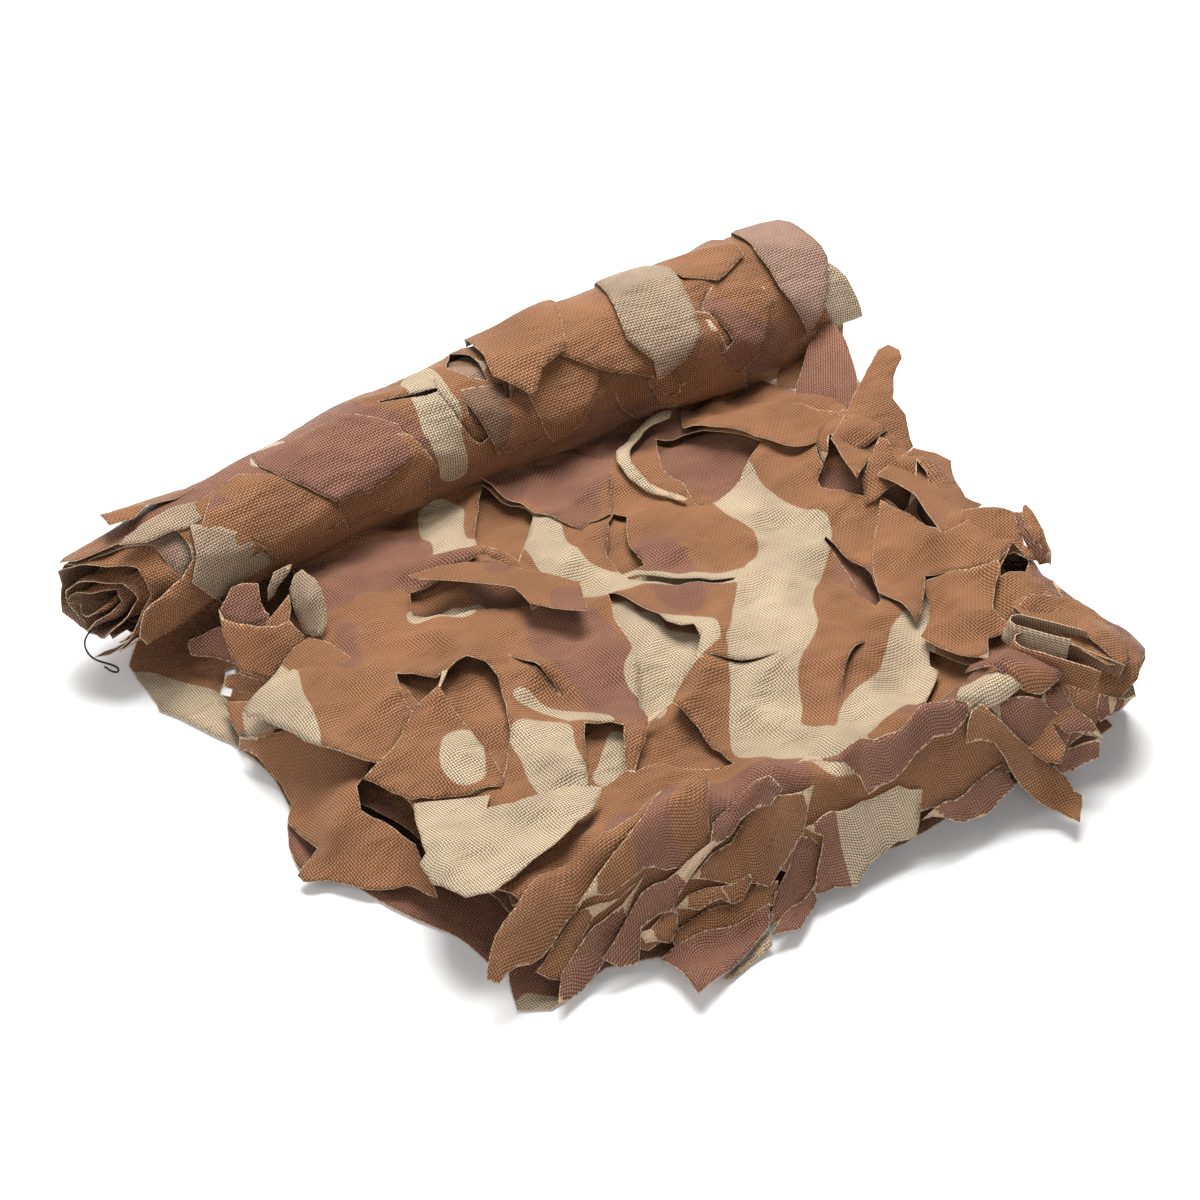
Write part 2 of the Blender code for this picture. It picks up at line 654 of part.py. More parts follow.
def build_net(scene_collection):
    """Cloth, roll and leaves as one solid."""
    grooves = new_collection("grooves")
    make_object("near_groove", make_groove(ROLL_LEFT, 1.0), grooves, hidden=True)
    make_object("far_groove", make_groove(ROLL_RIGHT, -1.0), grooves, hidden=True)
    joined = new_collection("roll_and_leaves")
    roll = make_object("roll", make_roll(), joined, hidden=True)
    combine(roll, "DIFFERENCE", grooves)
    for index, row in enumerate(ROLL_LEAVES):
        make_object(f"leaf_{index}", make_leaf(*row), joined, hidden=True)
    for index in range(BACK_LEAVES):
        x = BACK_LEAF_STEP * (index - 0.5 * (BACK_LEAVES - 1))
        angle = BACK_LEAF_ANGLES[index % 2]
        turn = BACK_LEAF_TURNS[index % 3]
        leaf = make_leaf(x, angle, BACK_LEAF_LENGTH, BACK_LEAF_WIDTH, turn, BACK_LEAF_LIFT)
        make_object(f"back_leaf_{index}", leaf, joined, hidden=True)
    for index, (x, angle, length, width, reach, inside_by) in enumerate(END_TONGUES):
        turn = 0.0 if reach > 0.0 else 180.0
        middle = x + 0.5 * reach * length
        tongue = make_leaf(middle, angle, length, width, turn, 0.0, inside_by)
        make_object(f"tongue_{index}", tongue, joined, hidden=True)
    for index, row in enumerate(HEAP_LEAVES):
        make_object(f"heap_leaf_{index}", make_heap_leaf(*row), joined, hidden=True)
    net = make_object("net", make_cloth(), scene_collection)
    thick = net.modifiers.new("Solidify", "SOLIDIFY")
    thick.thickness = CLOTH
    thick.offset = 0.0
    combine(net, "UNION", joined)
    net.data.materials.append(make_material("camouflage_cloth", (0.36, 0.20, 0.12), 0.62))


def build_thread(scene_collection):
    """The thread that hangs from the near end, on a smooth curve through its route."""
    curve = bpy.data.curves.new("thread_end", "CURVE")
    curve.dimensions = "3D"
    curve.bevel_depth = THREAD_RADIUS
    curve.bevel_resolution = 2
    curve.use_fill_caps = True
    spline = curve.splines.new("POLY")
    points = smooth_route(THREAD_ROUTE, THREAD_POINTS)
    spline.points.add(len(points) - 1)
    for target, point in zip(spline.points, points):
        target.co = (*point, 1.0)
    thread = bpy.data.objects.new("thread_end", curve)
    scene_collection.objects.link(thread)
    curve.materials.append(make_material("black_thread", (0.012, 0.011, 0.010), 0.55))


def smooth_route(route, count):
    """Catmull-Rom curve through the route's points."""
    knots = [Vector(point) for point in route]
    knots = [2.0 * knots[0] - knots[1]] + knots + [2.0 * knots[-1] - knots[-2]]
    points = []
    for i in range(count + 1):
        position = (len(route) - 1) * i / count
        start = min(int(position), len(route) - 2)
        t = position - start
        a, b, c, d = knots[start:start + 4]
        points.append(0.5 * (2.0 * b + (c - a) * t + (2.0 * a - 5.0 * b + 4.0 * c - d) * t ** 2
                             + (3.0 * b - 3.0 * c + d - a) * t ** 3))
    return points


def main():
    for piece in list(bpy.data.objects):
        bpy.data.objects.remove(piece, do_unlink=True)
    scene_collection = bpy.context.scene.collection
    build_net(scene_collection)
    build_thread(scene_collection)


main()
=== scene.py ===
"""Looks of the camouflage net: leaf-cut printed cloth, folded into plies and half rolled.

Metres, +Z up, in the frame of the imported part. The roll lies along X, the loose end towards -Y.
Every ply is a flat sheet that is cut, then bent leaf by leaf, then laid over the heap or the roll.
"""
import math
from collections import namedtuple

import bmesh
import bpy
import numpy as np
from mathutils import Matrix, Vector, noise
from mathutils.geometry import delaunay_2d_cdt


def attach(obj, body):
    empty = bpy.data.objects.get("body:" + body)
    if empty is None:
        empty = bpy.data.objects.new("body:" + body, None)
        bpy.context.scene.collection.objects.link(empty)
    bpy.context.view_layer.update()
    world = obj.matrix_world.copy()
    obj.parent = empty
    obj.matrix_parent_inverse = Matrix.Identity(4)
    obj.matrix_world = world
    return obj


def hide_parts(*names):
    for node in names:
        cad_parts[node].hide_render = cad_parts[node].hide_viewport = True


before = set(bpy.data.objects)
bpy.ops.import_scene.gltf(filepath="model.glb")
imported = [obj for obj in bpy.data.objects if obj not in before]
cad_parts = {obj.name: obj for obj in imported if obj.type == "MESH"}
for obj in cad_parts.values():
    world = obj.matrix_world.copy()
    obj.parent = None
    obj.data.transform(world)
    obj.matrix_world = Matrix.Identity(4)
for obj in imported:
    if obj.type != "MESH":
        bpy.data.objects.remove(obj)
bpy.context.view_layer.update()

# Cloth
CLOTH = 0.00035          # thickness of the cloth itself
ON_FLOOR = 0.0004        # least height of the middle of the cloth
LOFT = 0.002             # what one ply takes up in the heap
WEAVE = 0.00118          # one cell of the weave
UPPER_MESH = 0.0028      # mesh step of the plies that show
THIRD_MESH = 0.0032      # mesh step of the third ply
LOWER_MESH = 0.0042      # mesh step of the plies below
PATCH_MESH = 0.0024      # mesh step of the small leaves
PANEL_MESH = 0.0016      # mesh step of the leaves with their own heights, which are steep
SMALLEST_SHEET = 0.0102  # least side of a sheet's box
LEAST_FILL = 0.301       # least share of its box that a sheet is given
LENGTH_STEPS = 60        # steps in which lengths along the cloth are measured
LEAF_STEPS = 24          # steps of a bent leaf
LEAF_ROOT = 0.15         # share of a leaf in which it rises to its slope
ROW_SHARE = 0.87         # distance of the mesh rows, as a share of its step
JITTER = 0.12            # how far the mesh points stray, as a share of its step
CRUMPLE_SIZE = 0.030     # size of a sheet's creases
PANEL_SLACK = 0.004      # how far a smooth surface may pass the heights of its points
RIBBON_STEPS = 32        # steps along a ribbon
PROBE_SHARE = 0.3        # how far towards its faces a point is probed for its side of a cut

# Heap, as in the part
PLIES = 4
RIGHT = 0.148
TURN_RUN = 0.028         # cloth in one fold
HEAP = 0.034
HEAP_MIN = 0.0006
CREST_Y = -0.101
CREST_X = -0.095
CREST_SLANT = -0.150
FRONT_FALL = 0.036
HEM_FROM = 0.014
HEM_CALM = 0.85          # share of the creases that the hem loses
LEFT_FALL_FROM = -0.146
LEFT_FALL = 0.034
LEFT_DROP = 0.6
UNDER_ROLL = 0.020
EDGE_WANDER = 0.004
EDGE_WAVES = (42.0, 95.0)
FOLD_BULGES = (0.0, 0.008, 0.007, 0.010)
THIRD_LEVEL = 2.62       # the third ply lies close under the top one

# Roll, as in the part
ROLL_Y = 0.166
ROLL_BOW = -0.35
ROLL_FLOOR = 0.012
ROLL_RADIUS = 0.0305
ROLL_CONE = 0.031
ROLL_FLATNESS = 0.97
WRAP_STEP = 0.0022
UNDER_TURN = 0.0032      # how far the second turn lies under the outer one
WRAP_STEP_ANGLE = -62.0
ROLL_WAVES = 0.0008
ROUGH_SIZE = 0.016
FACETS = 7               # flat facets that crisp cloth makes round the roll
FACET_SHARE = 0.45
NEAR_LIP_ANGLE = 38.0
NEAR_LIP_SPREAD = 52.0
NEAR_LIP_DEPTH = 0.034
NEAR_LIP_FADE = 0.22     # share of the lip's depth that each turn loses
NEAR_X = -0.196
NEAR_JAG = 0.003
NEAR_INNER_X = -0.120    # where the plies of the ends are hidden
FAR_INNER_X = 0.125

# Edges of the roll's outer turns: millimetres along the roll and degrees round it
ROLL_OUTER = (
    (192, -62), (192, 315), (-176, 315), (-176, 180), (-190, 150), (-197, 125), (-192, 105),
    (-172, 92), (-150, 82), (-147, 50), (-150, 15), (-160, -12), (-180, -24), (-188, -42),
    (-176, -62),
)
ROLL_SECOND = (
    (190, -62), (190, 298), (-186, 298), (-180, 180), (-194, 150), (-192, 110), (-170, 90),
    (-160, 70), (-157, 30), (-164, -8), (-186, -20), (-184, -62),
)

# Turns that show at the ends, each smaller by a share of the radius
NEAR_TURNS = 3.4
NEAR_CORNERS = 9         # corners of the near edge in a turn
NEAR_SHRINK = 0.20
FAR_TURNS = 4.0
FAR_SHRINK = 0.18

# Camera: the target is the point of the floor at the middle of the picture
TARGET = Vector((0.01558, 0.06569, 0.0))
CAMERA_AZIMUTH = -35.02
CAMERA_ELEVATION = 40.0
CAMERA_DISTANCE = 1.35
CAMERA_LENS = 90.0

# Thread, as in the part
THREAD_RADIUS = 0.00045
THREAD_POINTS = 44
THREAD_ROUTE = (
    (-0.1920, 0.1482, 0.0277),
    (-0.1955, 0.1478, 0.0268),
    (-0.1982, 0.1470, 0.0242),
    (-0.1988, 0.1460, 0.0208),
    (-0.1978, 0.1448, 0.0172),
    (-0.1955, 0.1436, 0.0142),
    (-0.1925, 0.1424, 0.0120),
    (-0.1896, 0.1410, 0.0102),
    (-0.1880, 0.1394, 0.0086),
    (-0.1890, 0.1382, 0.0080),
    (-0.1914, 0.1388, 0.0092),
    (-0.1936, 0.1408, 0.0116),
)

# Swells of the whole heap, as in the part: turn in degrees, along and across are half-widths
Ridge = namedtuple("Ridge", "x y height along across turn")
HEAP_RIDGES = (
    Ridge(-0.055, -0.104, 0.013, 0.062, 0.018, -10.0),
    Ridge(0.062, -0.120, 0.015, 0.070, 0.018, -8.0),
    Ridge(0.142, -0.062, 0.016, 0.062, 0.026, 84.0),
    Ridge(0.152, 0.052, 0.020, 0.042, 0.028, 70.0),
    Ridge(0.020, -0.030, 0.009, 0.060, 0.034, -35.0),
    Ridge(-0.075, 0.030, 0.006, 0.050, 0.022, 35.0),
    Ridge(-0.030, -0.070, -0.006, 0.050, 0.014, 20.0),
    Ridge(0.085, -0.065, -0.007, 0.055, 0.015, 55.0),
    Ridge(0.010, 0.135, -0.011, 0.190, 0.030, 0.0),
    Ridge(-0.120, 0.100, -0.007, 0.036, 0.028, 0.0),
    Ridge(-0.135, -0.030, -0.006, 0.045, 0.022, 80.0),
)

# Creases and gathers of the top ply
TOP_FOLDS = (
    Ridge(-0.050, 0.088, 0.006, 0.042, 0.010, -32.0),
    Ridge(0.104, -0.092, 0.006, 0.044, 0.010, 66.0),
    Ridge(0.124, 0.090, 0.006, 0.036, 0.011, -22.0),
    Ridge(0.136, 0.004, -0.006, 0.034, 0.010, 72.0),
    Ridge(0.012, 0.024, 0.004, 0.044, 0.011, 40.0),
    Ridge(-0.116, 0.044, 0.005, 0.034, 0.011, 70.0),
    Ridge(-0.050, -0.122, -0.007, 0.036, 0.007, 62.0),
    Ridge(-0.032, -0.126, 0.006, 0.036, 0.007, 66.0),
    Ridge(0.000, -0.128, -0.006, 0.034, 0.007, 76.0),
    Ridge(0.040, -0.134, 0.005, 0.032, 0.007, 80.0),
    Ridge(-0.084, -0.110, 0.006, 0.040, 0.008, 52.0),
    Ridge(0.110, -0.122, -0.004, 0.030, 0.008, 96.0),
    Ridge(-0.112, -0.094, -0.005, 0.034, 0.007, 48.0),
    Ridge(0.020, -0.118, -0.004, 0.034, 0.006, 60.0),
)

# Edges of the plies, in millimetres
TOP_FRONT = (
    (-140, -94), (-128, -112), (-110, -118), (-94, -128), (-74, -126), (-56, -132), (-36, -130),
    (-12, -140), (6, -138), (26, -136), (50, -145), (70, -142), (100, -146), (122, -144),
    (142, -142), (160, -126), (176, -132), (200, -120),
)
TOP_LEFT = (
    (-90, 158), (-99, 137), (-121, 89), (-143, 73), (-167, 69), (-169, 63), (-163, 49), (-151, 28),
    (-143, 17), (-133, -1), (-140, -4), (-141, -23), (-144, -35), (-150, -55), (-150, -80),
)
THIRD_LEFT = (
    (-80, 158), (-92, 130), (-112, 86), (-138, 66), (-146, 48), (-134, 18), (-126, -4),
    (-132, -30), (-140, -60), (-140, -96),
)
THIRD_FRONT = (
    (-120, -104), (-98, -104), (-76, -98), (-48, -104), (-20, -100), (6, -110), (36, -106),
    (62, -114), (94, -110), (122, -118), (140, -124),
)
SECOND_LEFT = (
    (-126, 158), (-124, 112), (-138, 86), (-158, 62), (-160, 42), (-150, 30), (-144, 10),
    (-140, -20), (-138, -50), (-136, -90), (-134, -104),
)
SECOND_FRONT = (
    (-122, -106), (-100, -112), (-70, -108), (-46, -112), (-18, -108), (12, -116), (40, -114),
    (64, -122), (90, -118), (112, -124), (140, -132), (170, -122), (196, -122),
)
BOTTOM_FRONT = (
    (-143, -96), (-148, -119), (-137, -126), (-108, -120), (-84, -130), (-58, -128), (-30, -136),
    (-4, -130), (28, -134), (60, -132), (92, -134), (120, -134), (142, -130),
)
BOTTOM_LEFT = (
    (-158, 166), (-174, 146), (-188, 113), (-170, 78), (-163, 28), (-180, -4), (-171, -25),
    (-165, -44), (-157, -69), (-151, -92),
)
BACK_Y = 0.158
TOP_RIGHT = 0.200        # ends of the plies, before they fold under at the right
THIRD_RIGHT = 0.152
SECOND_RIGHT = 0.196
BOTTOM_RIGHT = 0.140
JAG = 0.0004             # how ragged a cut edge is
JAG_STEP = 0.005
JAG_SIZE = 0.006
JAG_SWING = 1.6

# A leaf is cut free round its tip and hangs on at its root: place of the root and heading in
# degrees, tip from 0 (round) to 1 (pointed), bow is how far its middle line bends sideways,
# lift and droop are its slopes in degrees at the root and at the tip
Leaf = namedtuple("Leaf", "x y heading length width tip bow lift droop")
TOP_LEAVES = (
    Leaf(0.154, 0.052, 200.0, 0.034, 0.030, 0.60, 0.0, 16.0, -12.0),
    Leaf(0.176, -0.044, 10.0, 0.028, 0.030, 0.60, 0.0, 26.0, 8.0),
    Leaf(0.170, -0.090, -10.0, 0.030, 0.028, 0.60, 0.0, 30.0, 8.0),
    Leaf(0.172, 0.006, 0.0, 0.030, 0.034, 0.60, 0.0, 22.0, 8.0),
    Leaf(0.170, 0.050, 0.0, 0.030, 0.034, 0.60, 0.0, 16.0, 4.0),
)

# The net's common leaves under the top ply
COMMON_LENGTH = 0.040
COMMON_WIDTH = 0.032
COMMON_STRAY = 0.004

# A slit: its middle, its turn in degrees, its length and bow, how far its left side is lifted
# and its right side pressed down, how far the left side overlaps, and the reach of both
Slit = namedtuple("Slit", "x y turn length bow lift drop overlap reach")
TOP_SLITS = (
    Slit(0.014, -0.040, -28.0, 0.034, 0.001, 0.0010, 0.0006, 0.0, 0.008),
    Slit(0.052, -0.070, 36.0, 0.040, 0.004, 0.0030, 0.0015, 0.001, 0.010),
    Slit(-0.058, 0.006, -80.0, 0.030, 0.002, 0.0012, 0.0008, 0.0, 0.008),
)

# An opening: outline in millimetres, direction of its raised side in degrees, and in metres how
# far that side is lifted and the other one pressed down, and the reach of both
Hole = namedtuple("Hole", "name outline heading lift drop reach")
TOP_HOLES = (
    Hole("slit", ((-71, 88), (-65, 84), (-55, 79), (-42, 72), (-37, 66), (-36, 56), (-38, 39),
         (-43, 43), (-60, 55), (-68, 58), (-76, 67), (-79, 73)), 27.7, 0.0085, 0.0005, 0.013),
    Hole("round", ((-96, 16), (-89, 22), (-79, 24), (-72, 20), (-71, 12), (-79, -3), (-87, -16),
         (-100, -31), (-104, -35), (-102, -24), (-98, -2), (-98, 13)), 49.9, 0.003, 0.0, 0.012),
    Hole("left_gap", ((-107, 38), (-101, 33), (-94, 23), (-91, 23), (-98, 16), (-108, 15),
         (-133, 0), (-133, 1), (-109, 16), (-109, 26)), 16.8, 0.003, 0.0015, 0.01),
    Hole("tan_window", ((-3, 34), (-1, 9), (1, -4), (9, -13), (6, -22), (-2, -29), (-10, -32),
         (-25, -43), (-38, -45), (-36, -36), (-21, -14), (-13, 13)), -21.1, 0.003, 0.0006, 0.01),
    Hole("small_window", ((-61, -32), (-53, -39), (-50, -44), (-61, -60), (-75, -63), (-79, -59)),
         56.6, 0.003, 0.001, 0.008),
    Hole("low_window", ((-40, -48), (-25, -44), (-21, -57), (-22, -82), (-30, -78), (-47, -66),
         (-59, -63), (-47, -54)), 73.8, 0.003, 0.001, 0.01),
    Hole("tall_wedge", ((37, 85), (38, 76), (31, 67), (24, 52), (20, 38), (11, 43), (14, 58),
         (28, 76)), -92.3, 0.003, 0.001, 0.01),
    Hole("tan_lens", ((11, 39), (20, 28), (33, 17), (45, 7), (43, 6), (23, 19), (13, 27),
         (10, 36)), -30.6, 0.004, 0.0, 0.01),
    Hole("grey_window", ((-24, 108), (0, 137), (1, 122), (4, 101), (-27, 67), (-33, 70), (-40, 75),
         (-37, 84)), 47.0, 0.003, 0.0, 0.01),
    Hole("back_lens", ((81, 74), (89, 73), (99, 68), (93, 64), (87, 70)), 58.1, 0.003, 0.001,
         0.008),
    Hole("back_window", ((96, 110), (102, 95), (111, 82), (114, 75), (105, 71), (86, 61), (76, 58),
         (68, 59), (71, 76), (71, 94), (86, 118)), 3.1, 0.003, 0.001, 0.01),
    Hole("back_wedge", ((133, 50), (128, 26), (121, 15), (117, 21), (114, 35), (116, 39),
         (126, 44)), 58.4, 0.004, 0.0, 0.01),
    Hole("dark_hollow", ((127, 15), (135, 16), (143, 9), (132, 0), (126, 11)), 70.1, 0.004, 0.001,
         0.01),
    Hole("dark_crescent", ((147, 14), (148, 7), (143, -10), (136, -26), (134, -25), (136, -12),
         (138, -2), (143, 8)), 29.6, 0.005, 0.0, 0.01),
    Hole("right_slit", ((95, 10), (96, 3), (97, -9), (100, -22), (96, -32), (91, -39), (86, -41),
         (87, -32), (93, -13), (93, 2), (93, 8)), -22.8, 0.004, 0.001, 0.01),
    Hole("crest_hollow", ((92, -73), (94, -81), (94, -97), (97, -101), (89, -100), (82, -102),
         (71, -102), (49, -116), (68, -97), (85, -87), (87, -80)), 49.5, 0.003, 0.002, 0.01),
    Hole("end_hollow", ((138, -64), (148, -59), (151, -68), (147, -72), (135, -68)), 34.8, 0.004,
         0.0, 0.008),
)

BOTTOM_HOLES = (
    Hole("floor_gap", ((-161, 107), (-149, 120), (-145, 119), (-151, 112), (-158, 103)), 135.0,
         0.0, 0.0, 0.006),
)


# Openings of the roll's outer turn, in millimetres along it and degrees round it
ROLL_HOLES = (
    Hole("roll_triangle", ((16, 134), (3, 96), (9, 76), (15, 66), (18, 104)), 0.0, 0.002, 0.0,
         0.008),
    Hole("roll_weave", ((-1, 60), (18, 55), (16, 31), (9, 15), (-2, 44)), 180.0, 0.0022, -0.0004,
         0.008),
    Hole("roll_left_slit", ((-34, 95), (-8, 77), (-10, 74), (-34, 91)), 60.0, 0.0022, 0.0, 0.008),
    Hole("roll_right_slit", ((120, 49), (129, 47), (133, 22), (130, 18), (127, 42)), 0.0, 0.0024,
         0.0, 0.008),
    Hole("roll_far_slit", ((147, 128), (144, 112), (135, 78), (138, 80), (147, 112)), 180.0,
         0.0016, 0.0, 0.007),
)

# Coarse fields of each sheet's print, in millimetres: ends of a stroke and its half-width
TOP_TAN = (
    (90.4, 65.8, 84.1, 17.1, 12), (84.1, 17.1, 30.2, -38.3, 17), (30.2, -38.3, -6, -79, 16),
    (-6, -79, 13.9, -105.9, 14), (13.9, -105.9, 62.3, -86.2, 9), (62.3, -86.2, 111.4, -49.6, 10),
    (-1, 97, -12, 56.5, 12), (-12, 56.5, 5, 36, 10), (5, 36, 50, 5, 4),
    (-25.7, 137.3, -41.6, 95.2, 9), (-67, -2, -52, -38, 4), (-79.5, -27.3, -87.7, -53.7, 13),
    (-106, -8.6, -116, -27, 8), (-156, 90, -168, 35, 20), (-20, -24, 2, -14, 14),
    (-74, 72, -60, 60, 6),
)
TOP_MAUVE = (
    (-110, 120, -60, 110, 20), (-60, 110, -60, 80, 14), (-30, 30, -40, -30, 16),
    (-40, -30, -10, -20, 10), (30, 50, 20, 10, 12), (90, -10, 98, -40, 4),
    (-80, -100, -20, -110, 12), (50, -110, 110, -90, 10), (60, 130, 100, 120, 14),
    (-120, 60, -108, 80, 6),
)
THIRD_TAN = (
    (-74, 66, -56, 56, 5), (-6, 20, -14, -20, 8), (0, -14, -12, -30, 10), (-52, -42, -66, -56, 6),
    (14, 34, 42, 8, 8), (0, 8, -30, -34, 7),
)
THIRD_MAUVE = (
    (80, 100, 100, 70, 18), (118, 36, 126, 14, 12), (138, 0, 140, -12, 8), (-50, 64, -40, 50, 6),
    (98, -6, 90, -34, 6),
)
SECOND_TAN = ((-150, -86, -140, -104, 3),)
SECOND_MAUVE = ((-120, 100, -146, 60, 18), (-150, 30, -146, 0, 12), (-130, -70, -120, -100, 10))
BOTTOM_TAN = ((-182, 130, -173, 97, 12), (-173, 97, -166, 80, 10), (-142, -118, -136, -124, 8))
BOTTOM_MAUVE = ((-150, -20, -140, -100, 40), (-100, -110, 120, -120, 20))
DROP_TAN = ((-107, -12, -116, -24, 8),)
CORNER_TAN = ((-156, 90, -168, 35, 20),)
ROLL_TAN = (
    (-13, 54, -12, 26, 9), (-12, 26, -15, 0, 7), (-88, 58, -92, 50, 6), (30, 134, 90, 150, 12),
    (90, 150, 110, 128, 10), (-130, 150, -80, 138, 11),
)
ROLL_MAUVE = (
    (-60, 120, 0, 150, 14), (140, 110, 160, 150, 12), (-150, 60, -60, 56, 22),
    (-50, 50, -30, 10, 12), (130, 20, 150, 0, 12), (60, -10, 110, -12, 10),
)
NEAR_TAN = ((-190, 216, -165, 226, 6),)
NEAR_MAUVE = ((-200, 120, -140, 150, 20), (-200, 290, -150, 300, 16))

# Creases of thin crisp cloth: directions in degrees and shares of the long sharp ones, how long
# and how large they are, and the shares and sizes of the soft and the fine ones
CREASE_TURNS = ((22.0, 0.8), (-88.0, 0.5), (-35.0, 0.5))
FOLD_STRETCH = 2.4
FOLD_SIZE = 0.9
FOLD_LEVEL = 0.30
WAVE_SHARE = 0.8
FINE_SHARE = 0.25
FINE_SIZE = 0.30

# Heights of these creases
HEAP_CREASE_SEED = 1.0
HEAP_CREASE = 0.0042
SECOND_CREASE = 0.0016
PANEL_CREASE = 0.0010
ROLL_CREASE = 0.0006
SMOOTH_CREASE = 0.0004

# Print: depths in metres, sizes of its patches and how soft its borders are
FAR_DEPTH = 0.05
PRINT_DEPTH = 0.030
PRINT_SCALE = 0.075      # size of the print's common patches
MIXED_SCALE = 0.030      # size of the patches that share a small leaf
PRINT_WAVES = 0.034
PRINT_WANDER = 0.016
TAN_BLUR = 0.0004
MAUVE_BLUR = 0.0012

# Cloth material: tan, brown and mauve of its face, its back and its cut edges. The ranges give
# two values of the input and the two results for them.
FACE_COLOURS = ((0.50, 0.385, 0.255, 1.0), (0.300, 0.134, 0.058, 1.0), (0.250, 0.112, 0.068, 1.0))
BACK_COLOURS = ((0.37, 0.265, 0.175, 1.0), (0.22, 0.122, 0.070, 1.0), (0.33, 0.200, 0.142, 1.0))
EDGE_COLOURS = ((0.60, 0.45, 0.28, 1.0), (0.42, 0.22, 0.11, 1.0), (0.36, 0.18, 0.11, 1.0))
PALE_EDGE = (0.60, 0.42, 0.27, 1.0)
EDGE_WIDTH = 0.00036
FRAY_SIZE = 0.0018
FRAY = (0.35, 0.75, 0.15, 1.8)
FADE_SIZE = 0.035
FADE = (0.25, 0.75, 0.82, 1.14)
WEAVE_CHANGE = 0.12
# Painted light of the weave: painted shade in the gaps between threads and a painted highlight on
# their tops, from the weave's height
WEAVE_PAINTED_LIGHT = (0.1, 0.95, 0.14, 1.36)
WEAVE_BUMP = 0.0005
CREASE_BUMP = 0.0042
SPECULAR = 0.22
SHEEN = 0.03
SHEEN_ROUGHNESS = 0.45

# Fine creases of the material: size, share and turn in degrees
FINE_CREASES = ((0.016, 1.0, 20.0), (0.009, 0.6, -70.0), (0.006, 0.3, 60.0))

# Thread material, floor and light: place, size and power of the soft boxes
THREAD_COLOURS = ((0.008, 0.007, 0.006, 1.0), (0.030, 0.026, 0.022, 1.0))
THREAD_TWIST = 900.0
THREAD_BUMP = 0.0001
FLOOR_COLOUR = (0.97, 0.97, 0.97, 1.0)
FLOOR_HALF = 4.0
FLOOR_GAP = 0.0002
WORLD_LIGHT = 0.22
SOFT_BOXES = (
    ("overhead", (0.40, 0.66, 1.45), 1.0, 50.0),
    ("left", (-1.3, 0.3, 0.9), 0.7, 5.0),
    ("front", (-0.5, -1.2, 0.7), 0.8, 6.0),
)

